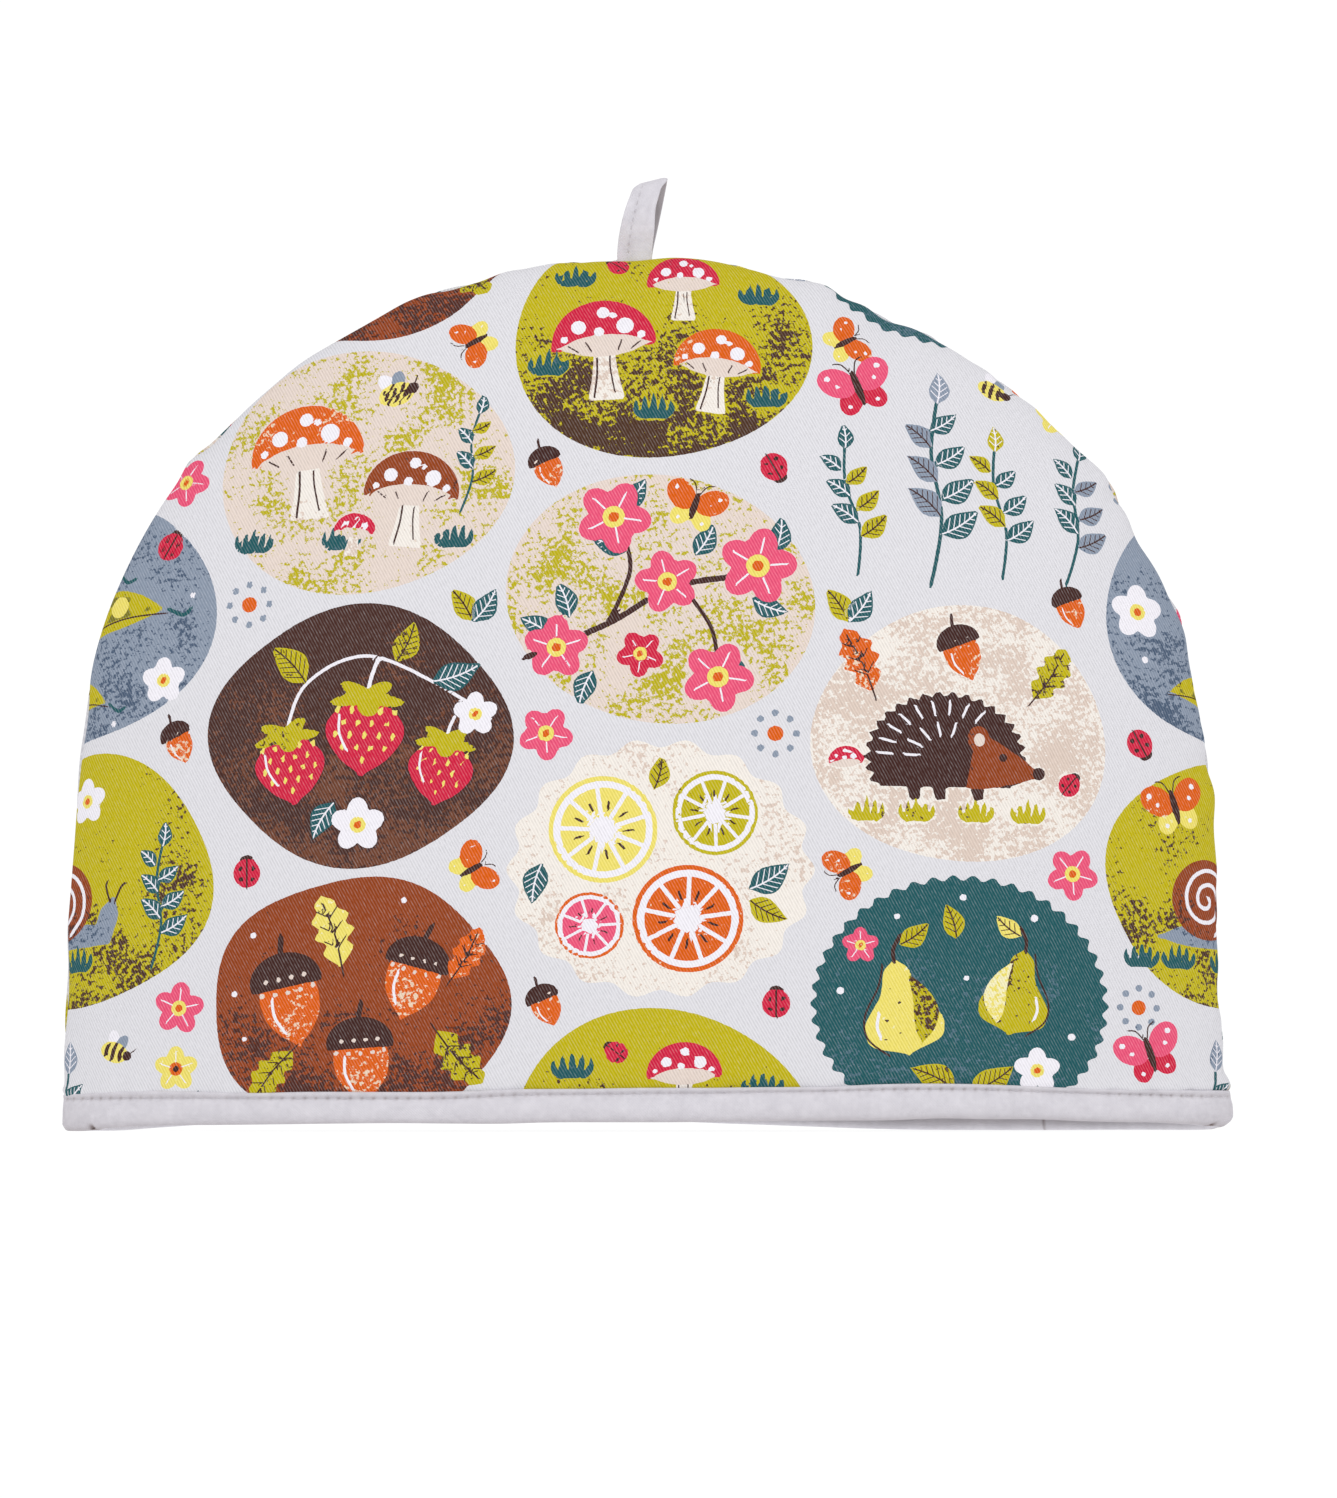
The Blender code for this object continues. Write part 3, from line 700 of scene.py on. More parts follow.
ACORNS = (
    (patch, 0, 0, 0, 1, "russet", 5, 0.025, 0, 0.3, 0.3),
    (acorn, -21, 3, 12, 1.34), (acorn, 17, 9, -16, 1.18), (acorn, 1, -16, 4, 1.22),
    (oak_leaf, -5, 12, 16, 0.95, "yellow"), (oak_leaf, 24, -8, -140, 0.9, "lime"),
    (oak_leaf, -20, -14, 140, 0.82, "lime"), (oak_leaf, 28, 8, -30, 0.75),
    (Spot.dots, 0, 0, 0, 1, "white", (-38, 4, 1), (-32, 22, 1), (14, 32, 1), (-12, -32, 1),
     (-35, -10, 0.8)),
)
SNAIL = (
    (patch, 0, 0, 0, 1, "lime", 4, 0.03, 1.4, 0.26, 0.3),
    (snail, -8, -7, 0, 1.4), (sprig, 25, -28, -6, 0.95, 7, ("teal", "teal")),
    (butterfly, -22, 22, 16, 0.95), (blossom, 2, 25, 0, 0.7, "white"),
    *((grass, x, -28, 0, 1.1) for x in (-33, -20, -2)),
)
PODS = (
    (patch, 0, 0, 0, 1, "slate", 3, 0.03, 1, 0.34, 0.1),
    (pea_pod, -8, 19, -14, 1.25), (pea_pod, 8, -4, 10, 1.35), (pea_pod, -7, -26, -6, 1.05),
    (ladybird, 30, 20, -30, 1), (blossom, -34, 0, 0, 0.85, "white"), (blossom, 29, -22, 0, 0.7, "white"),
    (Spot.dots, 0, 0, 0, 1, "white", (20, 31, 1.1), (-32, -15, 1.1), (12, -34, 1), (38, 4, 1),
     (-14, 33, 1)),
)
ORANGE_TOADSTOOLS = (
    (patch, 0, 0, 0, 1, "blush", 3, 0.03, 0.2, 0.36),
    (toadstool, -17, 4, 6, 1.36, "orange"), (toadstool, 15, -9, -4, 1.12, "russet"),
    (sprig, 30, -14, -10, 0.8, 6), *((grass, x, -25, 0, 1.1) for x in (-33, -6, 28)),
    (bee, 10, 24, 20, 1.05), (toadstool, -2, -20, -8, 0.5),
)
COLUMN_STEP, ROW_STEP, PATCH_REACH, GAP = 90, 82, 60, 34
CELLS = (  # the repeat: four columns of three cells, every second column half a cell up
    (TOADSTOOLS, CITRUS, BLOSSOMS), (PEARS, HEDGEHOG, SPRIGS), (SPRIGS, SNAIL, PODS),
    (ACORNS, STRAWBERRIES, ORANGE_TOADSTOOLS),
)
REPEAT_START = {FRONT: (4, -6), BACK: (-131, 34)}


def fill_gap(spot, number):
    """One small motif in the gap between three patches."""
    fills = (
        [(ladybird, 0, 0, 35 * number, 1)], [(leaf, 0, -7, 34, 0.85, "lime"), (leaf, 0, -7, -34, 0.85)],
        [(blossom, 0, 0, 20 * number, 0.8)], [(dot_ring, 0, 0, 0, 1)],
        [(butterfly, 0, 0, 30 * number, 0.72)], [(acorn, 0, 0, 24, 0.62)],
    )
    draw(spot, fills[number % len(fills)])


def print_cloth(piece, u, v, side, printed):
    """Print a piece's first points, its outer face's, and keep the layers that the material reads. The other
    points are put out of the print's reach and stay plain."""
    cloth = PrintedCloth(np.where(np.arange(u.size) < printed, u, np.inf), v)
    start_x, start_y = REPEAT_START[side]
    reach, top = PATCH_REACH + np.abs(u).max(), PATCH_REACH + v.max()
    for column in range(-6, 8):
        for row in range(-3, 8):
            x = start_x + COLUMN_STEP * column
            y = start_y + ROW_STEP * (row + 0.5 * (column % 2))
            if abs(x) < reach and -PATCH_REACH < y < top:
                draw(Spot(cloth, x, y), CELLS[column % 4][row % 3])
                fill_gap(Spot(cloth, x + GAP, y + 0.5 * ROW_STEP), 2 * column + 3 * row)
                fill_gap(Spot(cloth, x + COLUMN_STEP - GAP, y), 2 * column + 3 * row + 1)
    keep_on_points(piece, "cloth_place", u, v, 0)
    for first in range(0, len(INKS), 3):
        keep_on_points(piece, f"inks_{first}", *cloth.fields[first:first + 3])
    keep_on_points(piece, "leaf_place", *cloth.leaves)
    for ink, (across, away) in cloth.lines.items():
        keep_on_points(piece, f"line_{ink}", np.clip(across, -FAR, FAR), away, cloth.wear)


# ---- the binding, the loop and their stitches

STITCH_PITCH, STITCH_LENGTH, THREAD_RADIUS = 3.5 * MM, 2.7 * MM, 0.15 * MM
THREAD_RINGS, THREAD_SIDES, THREAD_TAPER, THREAD_RISE = 7, 6, 0.35, 0.22 * MM
STITCH_ROW, STRIP_TOP, RING_STEP = 8.2 * MM, 9.9 * MM, 0.5 * MM
SWELL, SWELL_WAVE = 0.28 * MM, (11, 1.7, 41)
RIPPLE, RIPPLE_SLANT, RIPPLE_WAVE, UNEVEN_WAVE = 0.20 * MM, 0.9, (1.3, 2.4, 8.3), (13.7, 2.3, 47)
ROW_DIP, ROW_REACH, BETWEEN_HOLES, HOLE_REACH = 0.22 * MM, 0.55 * MM, 0.35, 0.6 * MM
EDGE_SWAY, EDGE_WAVE, RELIEF_FROM = 0.05 * MM, (8.7, 2.2, 31), 0.3 * MM
JOIN_ACROSS, JOIN_DIP, JOIN_REACH = 121.6 * MM, 0.35 * MM, 0.5 * MM
PINCHES = ((-165.2 * MM, 0.4 * MM), (168.6 * MM, 0))  # across, up: where the hem is pinched at its ends
PINCH_DIP, PINCH_WIDTH, PINCH_HEIGHT, PINCH_LEAN = 1.2 * MM, 0.7 * MM, 0.75 * MM, 0.15
CORNER_BULGE, CORNER_REACH = 1.5 * MM, 12 * MM
# Painted shade on the strip, from 0 to 1, and how far each reaches: in the join, at the stitch row and its
# needle holes, in the band above the row, darker towards the hem and at the ends, and up the inner leg.
JOIN_DARK, JOIN_DARK_REACH = 0.55, 0.35 * MM
GROOVE_DARK, HOLE_DARK, GROOVE_REACH, SEEN_WAVE = 0.08, 0.52, 0.42 * MM, (17.1, 2, 53)
BAND_DARK, BAND_ABOVE_ROW, HEM_DARK = 0.19, 0.6 * MM, ((0.13, 5 * MM), (0.20, 1.4 * MM))
ENDS_DARK, ENDS_FROM, ENDS_REACH, ENDS_UP, ENDS_FADE = 0.10, 157 * MM, 17 * MM, 5.5 * MM, 3 * MM
INSIDE_DARK, INSIDE_DARK_FROM = 0.42, 3.2 * MM
OUTER_LEG = (  # outwards and up in millimetres, shares of the bulge at the right and left corners
    (0.12, 9.6, 0.8, 0), (0.5, 9.9, 0.8, 0), (0.95, 9.87, 0.85, 0.05), (1.28, 9.58, 0.7, 0.08),
    (1.38, 9.2, 0.71, 0.02), (1.26, 8.8, 0.84, 0.1), (1.1, 8.45, 1, 0.2), (1.02, 8.2, 1.09, 0.25),
    (1.14, 7.88, 1.02, 0.17), (1.42, 7.3, 0.88, 0), (1.7, 6.35, 0.9, -0.1), (1.88, 5.2, 0.86, -0.12),
    (1.94, 3.95, 0.88, -0.16), (1.86, 2.75, 0.92, -0.1), (1.64, 1.7, 0.64, 0.05), (1.24, 0.85, 0.17, 0),
    (0.72, 0.32, -0.08, 0.05), (0.2, 0.05, -0.35, 0), (-0.2, 0, -0.35, 0),
)
INNER_LEG = (
    (0.2, 0), (-0.4, 0.15), (-0.95, 0.6), (-1.4, 1.4), (-1.62, 2.6), (-1.66, 4), (-1.56, 5.4), (-1.36, 6.7),
    (-1.12, 7.8), (-0.95, 8.2), (-1.14, 8.6), (-1.26, 9), (-1.1, 9.6), (-0.7, 9.9), (-0.2, 9.8), (-0.14, 5),
    (-0.14, 1.5),
)
LINING_LEG = ((0.14, 1.5, 0, 0), (0.12, 5, 0.6, 0))
# The folded strip's closed section in rows: outwards, up, 1 on the inner leg, bulge right, bulge left.
SECTION = np.array([(out, up, 0, right, left) for out, up, right, left in OUTER_LEG]
                   + [(out, up, 1, 0, 0) for out, up in INNER_LEG]
                   + [(out, up, 0, right, left) for out, up, right, left in LINING_LEG]) * (MM, MM, 1, 1, 1)
ROW_OUTSIDE, ROW_INSIDE = (1.02 * MM, STITCH_ROW, 0, 1.09, 0.25), (-0.95 * MM, STITCH_ROW, 1, 0, 0)
STRIP_LINES = MM * np.array((  # across in front, heights of the stitch row and the unevenly folded upper edge
    (-174.1, 9.5, 11), (-169.6, 9.61, 11.22), (-163.3, 9.72, 11.63), (-155.6, 9.83, 11.97),
    (-147.9, 9.87, 12.19), (-140.3, 9.88, 12.02), (-132.7, 9.9, 11.82), (-115.8, 9.83, 11.49),
    (-102.6, 9.85, 11.86), (-79.4, 9.87, 11.88), (-60, 9.92, 11.89), (-37.5, 10.9, 12.62),
    (-14, 11.17, 12.87), (3.7, 11.4, 13.05), (21.3, 11.5, 13.12), (33.1, 11.8, 13.2), (50.7, 12, 13.4),
    (68.5, 12.5, 14.1), (86.3, 12.61, 14.23), (104.1, 12.3, 13.85), (122.1, 11.6, 13.1), (140.3, 11.1, 12.56),
    (152.5, 10.75, 12.36), (164.9, 10.34, 12.16), (173.1, 10.31, 12.14),
))
STRIP_LINES_FROM, STRIP_LINES_REACH = 140 * MM, 30 * MM
CORNER_RISE, CORNER_RISE_FROM, CORNER_RISE_REACH, CORNER_RISE_UP = 0.3 * MM, 166 * MM, 7.5 * MM, 6 * MM

# Places round the hem, outward directions, wall thickness, lift, 1 in front and 0 behind, and the way run.
Ring = namedtuple("Ring", "x y out_x out_y wall lift front run")


def hem_ring():
    """Once round the hem at the wall's outer face, from the left end over the front to the right and back."""
    parts = []
    for side, order in ((FRONT, 1), (BACK, -1)):
        hem = along_hem(side)
        length = run_of(hem(np.linspace(-QUARTER, QUARTER, 2000)))[-1]
        phi = evenly(hem, -QUARTER, QUARTER, int(length / RING_STEP))[::order]
        openness, width = np.cos(phi), np.where(phi < 0, LEFT_WIDTH, RIGHT_WIDTH)
        x, y = width * np.sin(phi), side * (SEAM_GAP / 2 + panel_depth(openness))
        out_x, out_y = unit(np.stack([depth_slope(phi), side * width * openness], axis=-1)).T
        wall = WALL * wall_share(openness, 0)
        parts.append(np.stack([x, y, out_x, out_y, wall, hem_lift(x, side), np.full_like(x, side == FRONT)]))
    ring = np.concatenate(parts, axis=1)
    return Ring(*ring, run_of(ring[:2].T))


def needle_holes(run):
    """1 at each needle hole along the stitch row, 0 between them."""
    return bell((run + 0.5 * STITCH_PITCH) % STITCH_PITCH - 0.5 * STITCH_PITCH, HOLE_REACH)


def pinched(up, ring):
    """How strongly each point lies in a pinch at the hem's ends, from 0 to 1. It leans outwards as it rises."""
    return sum(bell(ring.x - across - math.copysign(PINCH_LEAN, across) * (up - height), PINCH_WIDTH)
               * bell(up - height, PINCH_HEIGHT) * ring.front for across, height in PINCHES)


def binding_relief(up, ring, inner):
    """How far the strip's face stands out: slow swells, bias ripples, needle dips along the stitch row, the
    join behind on the right, and a pinch at each end of the hem."""
    share = np.clip(up / STITCH_ROW, 0, 1)
    swell = SWELL * wavy(ring.run, SWELL_WAVE) * np.sin(math.pi * share)
    uneven = 0.5 + 0.5 * wavy(ring.run, UNEVEN_WAVE)
    ripple = RIPPLE * uneven * wavy(ring.run + RIPPLE_SLANT * up, RIPPLE_WAVE) * share ** 1.5
    dips = BETWEEN_HOLES + (1 - BETWEEN_HOLES) * needle_holes(ring.run)
    dips = dips * ROW_DIP * bell(up - STITCH_ROW, ROW_REACH)
    join = JOIN_DIP * bell(ring.x - JOIN_ACROSS, JOIN_REACH) * (1 - ring.front)
    return swell + ripple - dips - join - PINCH_DIP * pinched(up, ring) * (1 - inner)


def strip_points(ring, section):
    """The section carried round the ring: a point moves outwards by its place in the section, the bulge and
    the relief, and up in step with the hem, the stitch row and the upper edge."""
    outwards, up, inner, right, left = section.T[..., None]
    bulge = right * bell(ring.x - RIGHT_WIDTH, CORNER_REACH) + left * bell(ring.x + LEFT_WIDTH, CORNER_REACH)
    relief = binding_relief(up, ring, inner) * (np.abs(outwards) > RELIEF_FROM)
    offset = outwards - inner * ring.wall + bulge * CORNER_BULGE + (1 - 2 * inner) * relief
    in_front = np.maximum(ring.front, smooth((np.abs(ring.x) - STRIP_LINES_FROM) / STRIP_LINES_REACH))
    behind = hem_lift(ring.x, BACK, LIFT_SPREAD)
    lines = smooth_through(STRIP_LINES[:, 0], STRIP_LINES[:, 1:], ring.x).T
    row, top = (in_front * line + (1 - in_front) * (behind + height)
                for line, height in zip(lines, (STITCH_ROW, STRIP_TOP)))
    height = np.where(up < STITCH_ROW, ring.lift + up / STITCH_ROW * (row - ring.lift),
                      row + (up - STITCH_ROW) / (STRIP_TOP - STITCH_ROW) * (top - row))
    sway = EDGE_SWAY * wavy(ring.run, EDGE_WAVE) * (up > STITCH_ROW)
    corner = CORNER_RISE * smooth((ring.x - CORNER_RISE_FROM) / CORNER_RISE_REACH)
    height = height + sway + corner * np.clip(1 - up / CORNER_RISE_UP, 0, 1)
    return np.stack([ring.x + offset * ring.out_x, ring.y + offset * ring.out_y, height], axis=-1)


def make_binding(ring, material):
    """The folded strip as a closed tube. Its points keep how much painted shade they take: in the pinches and
    the join, at the needle holes and above the row, darker towards the hem and at the ends, and up the inner
    leg."""
    points = strip_points(ring, SECTION)
    faces = net_faces(*points.shape[:2], close_rows=True, close_columns=True)[:, ::-1].tolist()
    piece = add_piece("hem_strip", points, faces, material, "grey_cotton", "hem_binding")
    up, inner = SECTION[:, 1:2], SECTION[:, 2:3]
    # Painted shade: in the pinches and the join, in the stitch row's groove and needle holes, in the band above
    # the row, darker towards the hem and at the ends, and up the inner leg under the front's edge.
    painted_shade = pinched(up, ring) + JOIN_DARK * bell(ring.x - JOIN_ACROSS, JOIN_DARK_REACH) * (1 - ring.front)
    seen = 0.65 + 0.35 * wavy(ring.run, SEEN_WAVE)
    groove = bell(up - STITCH_ROW, GROOVE_REACH) * (GROOVE_DARK + HOLE_DARK * seen * needle_holes(ring.run))
    band = BAND_DARK * bell(up - STITCH_ROW - BAND_ABOVE_ROW, BAND_ABOVE_ROW)
    hem_end_and_inner_shade = sum(share * (1 - smooth(up / reach)) for share, reach in HEM_DARK)
    at_ends = smooth((np.abs(ring.x) - ENDS_FROM) / ENDS_REACH)
    hem_end_and_inner_shade = hem_end_and_inner_shade + ENDS_DARK * at_ends * (1 - smooth((up - ENDS_UP) / ENDS_FADE))
    hem_end_and_inner_shade = hem_end_and_inner_shade * (1 - inner) + INSIDE_DARK * smooth(up / INSIDE_DARK_FROM) * inner
    dark = np.clip(painted_shade + groove + band + hem_end_and_inner_shade, 0, 1)
    keep_on_points(piece, "cloth_place", ring.run / MM, run_of(SECTION[:, :2])[:, None] / MM, dark)
    return piece


def stitches(name, starts, ends, outwards, material, rise):
    """Short threads, each from a start to an end, arched outwards by half a sine and round in section, closed
    to a point at both ends."""
    along = ends - starts
    aside = unit(np.cross(along, outwards))
    share = np.linspace(0, 1, THREAD_RINGS)[1:-1, None]
    arch = np.sin(math.pi * share)
    angle = np.linspace(0, TURN, THREAD_SIDES, endpoint=False)[:, None]
    middle = starts[:, None] + along[:, None] * share + outwards[:, None] * rise * arch
    circle = aside[:, None] * np.cos(angle) + outwards[:, None] * np.sin(angle)
    body = middle[:, :, None] + circle[:, None] * (THREAD_RADIUS * arch ** THREAD_TAPER)[:, None]
    count = len(share) * THREAD_SIDES
    points = np.concatenate([body.reshape(len(starts), count, 3), starts[:, None], ends[:, None]], axis=1)
    faces = net_faces(len(share), THREAD_SIDES, close_columns=True)[:, ::-1].tolist()
    sides = [(k, (k + 1) % THREAD_SIDES) for k in range(THREAD_SIDES)]
    faces += [[count, k, after] for k, after in sides]
    faces += [[count + 1, count - THREAD_SIDES + after, count - THREAD_SIDES + k] for k, after in sides]
    faces = [[i + number * (count + 2) for i in face] for number in range(len(starts)) for face in faces]
    return add_piece(name, points, faces, material, "grey_cotton")


def binding_stitches(ring, material):
    """The stitch row round the outer leg, and the same thread on the inner leg."""
    begin = (np.arange(int(ring.run[-1] / STITCH_PITCH)) + 0.12) * STITCH_PITCH
    rows = []
    for leg, side in ((ROW_OUTSIDE, 1), (ROW_INSIDE, -1)):
        path = strip_points(ring, np.array([leg]))[0]
        outwards = side * np.stack([ring.out_x, ring.out_y, np.zeros_like(ring.x)], axis=1)
        rows.append([np.stack([np.interp(run, ring.run, kept) for kept in way.T], axis=1)
                     for run, way in ((begin, path), (begin + STITCH_LENGTH, path), (begin, outwards))])
    starts, ends, outwards = (np.concatenate(parts) for parts in zip(*rows))
    return stitches("hem_stitches", starts, ends, unit(outwards), material, THREAD_RISE)


LOOP_WIDTH, LOOP_THICKNESS, LOOP_STEPS, LOOP_SIDES = 10.5 * MM, 1 * MM, 150, 36
LOOP_LEFT_OF_MIDDLE, LOOP_LEAN, LOOP_FOLD_SLOPE = 3.9 * MM, 4.7 * MM, 0.28
LOOP_TWIST, FRONT_TWIST = 0.7 * MM, -0.2
LOOP_RIPPLE, LOOP_RIPPLE_ACROSS, LOOP_RIPPLE_UP = 0.18 * MM, 1.2 * MM, 2.1 * MM
TURN_IN_FROM, TURN_IN_GROWTH, TURN_OUT_FROM, TURN_OUT_GROWTH = 0.3, 0.4, 0.88, 0.12  # of the loop's height
LOOP_TOP, LOOP_TURN_IN, LOOP_CROWN = 21.9 * MM, 1.1 * MM, 0.8 * MM
LOOP_HALF = MM * np.array((  # in millimetres: half-opening, height above the crown
    (0.7, -4), (0.7, 0.2), (1.5, 4), (2.9, 8.5), (3.6, 13), (3.2, 17.6), (1.8, 20.8), (0, 21.9),
))
LOOP_PATH = np.concatenate([LOOP_HALF * (-1, 1), LOOP_HALF[-2::-1]])
LOOP_RUN = run_of(LOOP_PATH)
LOOP_PITCH, LOOP_STITCH, LOOP_STITCH_IN, LOOP_THREAD_RISE = 2.4 * MM, 1.8 * MM, 3.3 * MM, 0.16 * MM
# LOOP_ROW_DARK and LOOP_INSIDE_DARK are painted shade, along the stitch row's dip and on the inner face.
LOOP_ROW_DIP, LOOP_ROW_REACH, LOOP_ROW_DARK, LOOP_INSIDE_DARK = 0.3, 0.5 * MM, 0.10, 0.49
LOOP_EDGE, LOOP_FLATNESS = 0.7, 0.35  # powers that square the section across and through it


def loop_strip(places, across, out):
    """The loop's middle line carried across its width: a drop in the YZ plane that leans and slopes to the
    right as it rises, with its front edge turned in. out moves it along its outward normal."""
    at = places * LOOP_RUN[-1]
    y, up = np.moveaxis(smooth_through(LOOP_RUN, LOOP_PATH, at), -1, 0)
    ahead, behind = (smooth_through(LOOP_RUN, LOOP_PATH, at + step) for step in (1e-5, -1e-5))
    tangent = unit(ahead - behind)
    risen = np.clip(up / LOOP_TOP, 0, 1)
    twist = LOOP_TWIST * np.sin(math.pi * risen) * np.where(y > 0, 1, FRONT_TWIST)
    middle = -LOOP_LEFT_OF_MIDDLE + LOOP_LEAN * risen ** 1.6 + twist
    out = out + LOOP_RIPPLE * np.sin(across / LOOP_RIPPLE_ACROSS + up / LOOP_RIPPLE_UP)
    turned_in = smooth((risen - TURN_IN_FROM) / TURN_IN_GROWTH) * (y < 0)
    turned_in = turned_in * (1 - smooth((risen - TURN_OUT_FROM) / TURN_OUT_GROWTH))
    turned_in = turned_in * smooth(across / (0.5 * LOOP_WIDTH)) * LOOP_TURN_IN
    middle, y = middle - turned_in, y + 0.5 * turned_in
    z = DOME_HEIGHT + up + tangent[..., 0] * out + across * LOOP_FOLD_SLOPE * risen ** 2
    z = z + LOOP_CROWN * (1 - (2 * across / LOOP_WIDTH) ** 2) * risen ** 3
    return np.stack([middle + across, y - tangent[..., 1] * out, z], axis=-1)


def squared(value, power):
    """A sine or cosine drawn towards -1 and 1."""
    return np.sign(value) * np.abs(value) ** power


def make_loop(material, thread):
    """The folded strip as a closed tube of a flat, round-edged section, with one row of stitches. Its points
    keep painted shade on the inner face and along the stitch row.
    """
    turn = np.linspace(0, TURN, LOOP_SIDES, endpoint=False)
    places, turn = np.meshgrid(np.linspace(0, 1, LOOP_STEPS + 1), turn)
    across = 0.5 * LOOP_WIDTH * squared(np.cos(turn), LOOP_EDGE)
    row_dip = bell(across + 0.5 * LOOP_WIDTH - LOOP_STITCH_IN, LOOP_ROW_REACH)
    out = 0.5 * LOOP_THICKNESS * squared(np.sin(turn), LOOP_FLATNESS) * (1 - LOOP_ROW_DIP * row_dip)
    rows, columns = turn.shape
    faces = net_faces(rows, columns, close_rows=True).tolist()
    faces += [list(range(0, rows * columns, columns)), list(range(columns - 1, rows * columns, columns))[::-1]]
    piece = add_piece("loop_strip", loop_strip(places, across, out), faces, material, "grey_cotton",
                      "hanging_loop")
    # Painted shade: the inner face, in the hollow between the loop's halves, and a little along the stitch
    # row's dip.
    dark = np.where(np.sin(turn) < -0.2, LOOP_INSIDE_DARK, LOOP_ROW_DARK * row_dip)
    length = LOOP_RUN[-1]
    keep_on_points(piece, "cloth_place", places * length / MM, across / MM, dark)
    begin = (np.arange(2, int(length / LOOP_PITCH) - 2) + 0.1) * LOOP_PITCH / length
    line = np.full_like(begin, LOOP_STITCH_IN - 0.5 * LOOP_WIDTH)
    height = 0.36 * LOOP_THICKNESS
    starts, above = loop_strip(begin, line, height), loop_strip(begin, line, height + MM)
    ends = loop_strip(begin + LOOP_STITCH / length, line, height)
    return piece, stitches("loop_stitches", starts, ends, unit(above - starts), thread, LOOP_THREAD_RISE)


# ---- finishes

def operator(operation, swapped=False):
    """A Python operator between a shader value and another value or number, as one Math node."""
    def add_node(self, other):
        return self.finish.maths(operation, *((other, self) if swapped else (self, other)))
    return add_node


class Wire:
    """A shader value in a Python expression."""

    def __init__(self, finish, socket):
        self.finish, self.socket = finish, socket

    __add__ = __radd__ = operator("ADD")
    __mul__ = __rmul__ = operator("MULTIPLY")
    __sub__, __rsub__ = operator("SUBTRACT"), operator("SUBTRACT", swapped=True)
    __gt__, __lt__ = operator("GREATER_THAN"), operator("LESS_THAN")


class Finish:
    """A node material on a Principled shader, built node by node."""

    def __init__(self, name, roughness, specular):
        self.material = bpy.data.materials.new(name)
        self.material.use_nodes = True
        self.tree = self.material.node_tree
        self.set("Roughness", roughness)
        self.set("Specular IOR Level", specular)

    def plug(self, socket, value):
        if isinstance(value, Wire):
            self.tree.links.new(value.socket, socket)
        else:
            socket.default_value = value

    def set(self, name, value):
        """Give a socket of the shader a value or a link."""
        self.plug(self.tree.nodes["Principled BSDF"].inputs[name], value)

    def node(self, kind, settings, sockets, output=0):
        """Add a node of a type: settings first, then the values or links of its sockets."""
        node = self.tree.nodes.new("ShaderNode" + kind)
        for name, value in settings.items():
            setattr(node, name, value)
        for name, value in sockets.items():
            self.plug(node.inputs[name], value)
        return Wire(self, node.outputs[output])

    def maths(self, operation, *values):
        return self.node("Math", {"operation": operation}, dict(enumerate(values)))

    def mix(self, share, first, second):
        """A colour between two colours."""
        return self.node("Mix", {"data_type": "RGBA"}, {0: share, 6: first, 7: second}, 2)

    def layer(self, name):
        """The three parts of a vector kept on the points, and the vector itself."""
        vector = self.node("Attribute", {"attribute_name": name}, {}, "Vector")
        return [self.node("SeparateXYZ", {}, {0: vector}, output) for output in range(3)] + [vector]

    def noise(self, place, size, detail=2, roughness=0.5):
        """Noise of about the given size, in the units of place."""
        sockets = {"Vector": place, "Scale": 1 / size, "Detail": detail, "Roughness": roughness}
        return self.node("TexNoise", {}, sockets)

    def bump(self, height, distance):
        self.set("Normal", self.node("Bump", {}, {"Height": height, "Distance": distance, "Strength": 0.6}))


def ink(shade):
    """An sRGB colour as the linear colour that a shader takes."""
    parts = [channel / 255 for channel in shade]
    return (*(part / 12.92 if part < 0.04045 else ((part + 0.055) / 1.055) ** 2.4 for part in parts), 1)


TWILL_PITCH, TWILL_ANGLE, BIAS_PITCH, DRY_FROM = 0.85, 28, 0.62, 0.645


def turned_wires(u, v, angle):
    """A place as shader values, turned back by an angle in degrees."""
    cosine, sine = math.cos(math.radians(angle)), math.sin(math.radians(angle))
    return u * cosine + v * sine, v * cosine - u * sine


def twill(finish, u, v, pitch, angle):
    """Ribs from 0 to 1, at a right angle to the given direction."""
    return finish.maths("SINE", turned_wires(u, v, angle)[0] * (TURN / pitch)) * 0.5 + 0.5


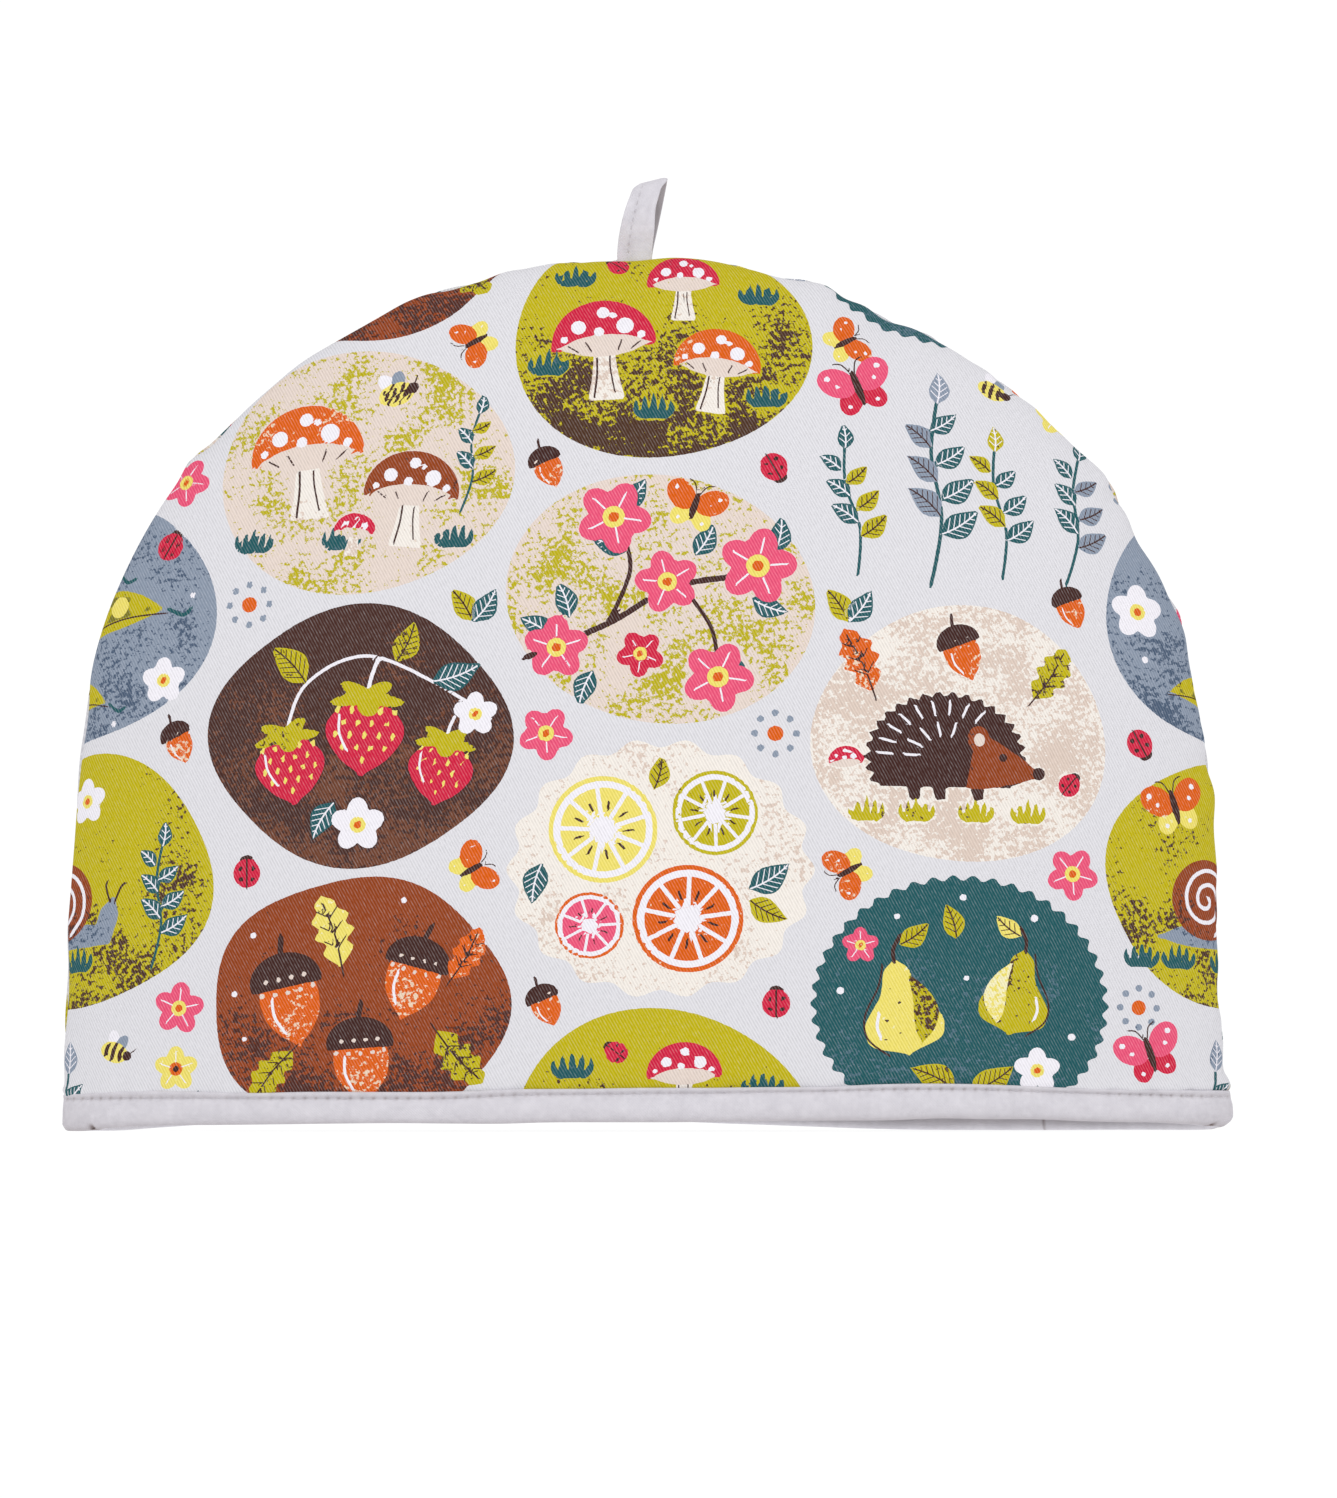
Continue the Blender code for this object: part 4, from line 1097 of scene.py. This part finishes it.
def printed_cotton():
    """Cotton drill with a screen print: the deepest ink shows, dry brushed where its wear says, then the drawn
    lines, the leaves' midribs and slanting side veins, and over all the twill's ribs, whitened partly as pale
    thread and partly as painted highlight, with painted shade in the troughs between them."""
    finish = Finish("printed_cotton", roughness=0.9, specular=0.04)
    u, v, _, place = finish.layer("cloth_place")
    ragged = (finish.noise(place, 1.3) - 0.5) * 0.7
    fine, clumps = finish.noise(place, 1.5, 4, 0.62), finish.noise(place, 17)
    wear = finish.layer("line_brown")[2]
    dry = (fine * 0.62 + clumps * 0.38 + wear * 0.30) > DRY_FROM
    colours = [finish.mix(dry, ink(shade), ink(worn)) if worn else ink(shade) for shade, worn in INKS.values()]
    fields = [field for first in range(0, len(INKS), 3) for field in finish.layer(f"inks_{first}")[:3]]
    colour, deepest = colours[0], fields[0]
    for shade, field in zip(colours[1:], fields[1:]):
        colour = finish.mix((field + ragged) > deepest, colour, shade)
        deepest = finish.maths("MAXIMUM", deepest, field)
    for name in LINE_INKS:
        across, away = finish.layer(f"line_{name}")[:2]
        drawn = (finish.maths("ABSOLUTE", across) < (ragged * 0.9 + 1)) * (away < LINE_REACH)
        colour = finish.mix(drawn, colour, ink(INKS[name][0]))
    beside, along, depth, _ = finish.layer("leaf_place")
    beside = finish.maths("ABSOLUTE", beside)
    fold = finish.maths("FRACT", (along - beside * 0.9) * (1 / VEIN_PITCH))
    side_veins, midrib = (fold < (ragged * 0.2 + 0.19)) * (depth > 0.5), (beside < 0.24) * (depth > 0.2)
    shade = finish.mix(along > (0.75 * DARK_VEINS), ink(INKS["white"][0]), ink(INKS["brown"][0]))
    colour = finish.mix(finish.maths("MAXIMUM", side_veins, midrib), colour, shade)
    rib = twill(finish, u, v, TWILL_PITCH, TWILL_ANGLE)
    over, along = turned_wires(u, v, TWILL_ANGLE)
    broken = finish.node("CombineXYZ", {}, {0: over * (1 / 0.5), 1: along * (1 / 1.7)})
    yarn = finish.noise(broken, 1, 1)
    raised = rib * yarn
    # The raised ribs are whitened, partly as pale thread and partly as painted highlight. The troughs are
    # darkened as painted shade.
    colour = finish.mix(finish.maths("POWER", raised, 2) * 0.34, colour, ink((244, 242, 246)))
    finish.set("Base Color", finish.mix((1 - rib) * (1 - yarn) * 0.30, colour, ink((24, 20, 26))))
    finish.bump(raised, 0.12 * MM)
    return finish.material


def grey_cotton(name, shade, dark):
    """Plain light-grey cotton, cut on the bias: a fine slanting weave and faint cloudiness, darkened towards a
    warm grey by the painted shade that its points keep.
    """
    finish = Finish(name, roughness=0.88, specular=0.1)
    u, v, painted_shade, place = finish.layer("cloth_place")
    weave = twill(finish, u, v, BIAS_PITCH, 45) * 0.5 + twill(finish, u, v, BIAS_PITCH, -45) * 0.5
    cloud, mottle = finish.noise(place, 5.5, 3, 0.6), finish.noise(place, 1.7)
    nap = finish.noise(place, 0.5)
    colour = finish.mix((1 - weave) * 0.22 + cloud * 0.85 + mottle * 0.50, ink(shade), ink(dark))
    # The painted shade's colour: the strip's grey, darker and warmer.
    painted_shade_colour = ink(share * channel for share, channel in zip((0.53, 0.48, 0.46), shade))
    finish.set("Base Color", finish.mix(painted_shade, colour, painted_shade_colour))
    finish.bump(weave * 0.5 + nap * 0.9 + mottle + cloud * 2.4, 0.14 * MM)
    return finish.material


def grey_thread():
    """Pale twisted thread."""
    finish = Finish("grey_thread", roughness=0.7, specular=0.3)
    strand = finish.noise(finish.node("TexCoord", {}, {}, "Object"), 0.5 * MM, 1)
    finish.set("Base Color", finish.mix(strand, ink((210, 207, 212)), ink((184, 180, 186))))
    return finish.material


# ---- studio and camera

PIXEL = 0.3 * MM  # of the photograph, on the cosy
FRAME_WIDE, FRAME_TALL = 1337, 1498
MIDDLE_X, FLOOR_Y = 647.5, 1130.8  # of the cosy, in the photograph's pixels
LENS, SENSOR, CAMERA_HEIGHT = 200, 36, 0.020
WHITE, FLOOR_GREY, FLOOR_GLOW = (1, 1, 1, 1), (0.12, 0.12, 0.12, 1), 0.94
SWEEP_OUT, SWEEP_TOP = 11, 2.4
LAMP_AIM = (0, 0, 0.12)


def studio():
    """A white floor, lit from below as a light table is, that curves up all round into a low backdrop: a
    quarter circle turned about the middle."""
    finish = Finish("studio_paper", roughness=0.9, specular=0)
    finish.set("Base Color", FLOOR_GREY)
    finish.set("Emission Color", WHITE)
    finish.set("Emission Strength", FLOOR_GLOW)
    angle = np.linspace(0, QUARTER, 16)
    out = np.concatenate([[0.5, 4], SWEEP_OUT + np.sin(angle), [SWEEP_OUT + 1]])
    height = np.concatenate([[0, 0], 1 - np.cos(angle), [SWEEP_TOP]])
    turn, row = np.meshgrid(np.linspace(0, TURN, 96, endpoint=False), np.arange(len(out)))
    points = np.stack([out[row] * np.cos(turn), out[row] * np.sin(turn), height[row]], axis=-1)
    faces = net_faces(*turn.shape, close_columns=True)[:, ::-1].tolist() + [list(range(turn.shape[1]))]
    add_mesh("studio_sweep", points, faces, finish.material)


def lamp(name, place, size, watts):
    """A soft square light aimed at the cosy."""
    data = bpy.data.lights.new(name, "AREA")
    data.shape, data.size, data.energy = "SQUARE", size, watts
    light = place_object(name, data)
    light.location = place
    x, y, z = (goal - start for goal, start in zip(LAMP_AIM, place))
    light.rotation_euler = (math.atan2(math.hypot(x, y), -z), 0, math.atan2(-x, y))


def set_camera():
    """A long lens close above the floor, framed as the photograph."""
    distance = LENS * PIXEL * FRAME_TALL / SENSOR
    centre_x, centre_z = (FRAME_WIDE / 2 - MIDDLE_X) * PIXEL, (FLOOR_Y - FRAME_TALL / 2) * PIXEL
    data = bpy.data.cameras.new("camera")
    data.lens, data.sensor_width = LENS, SENSOR
    camera = place_object("camera", data)
    camera.location = (centre_x, -distance, CAMERA_HEIGHT)
    camera.rotation_euler = (QUARTER + math.atan2(centre_z - CAMERA_HEIGHT, distance), 0, 0)
    bpy.context.scene.camera = camera


def light_studio():
    world = bpy.data.worlds.new("studio")
    world.use_nodes = True
    background = world.node_tree.nodes["Background"].inputs
    background["Color"].default_value, background["Strength"].default_value = WHITE, 0.60
    bpy.context.scene.world = world
    bpy.context.scene.view_settings.view_transform = "Standard"
    lamp("key", (-0.8, -1.6, 2.1), 1.2, 17)
    lamp("fill", (1.4, -1.5, 1.5), 1.4, 9)
    lamp("back", (0.5, 1.9, 1.9), 1.2, 9)


# ---- the cosy

printed = printed_cotton()
strip_cotton = grey_cotton("grey_cotton", (235, 232, 238), (204, 201, 208))
thread = grey_thread()
make_panel("front_cloth", FRONT, printed, "front_panel")
make_panel("back_cloth", BACK, printed, "back_panel")
hem = hem_ring()
strip = make_binding(hem, strip_cotton)
binding_stitches(hem, thread)
loop, loop_row = make_loop(strip_cotton, thread)
studio()
light_studio()
set_camera()
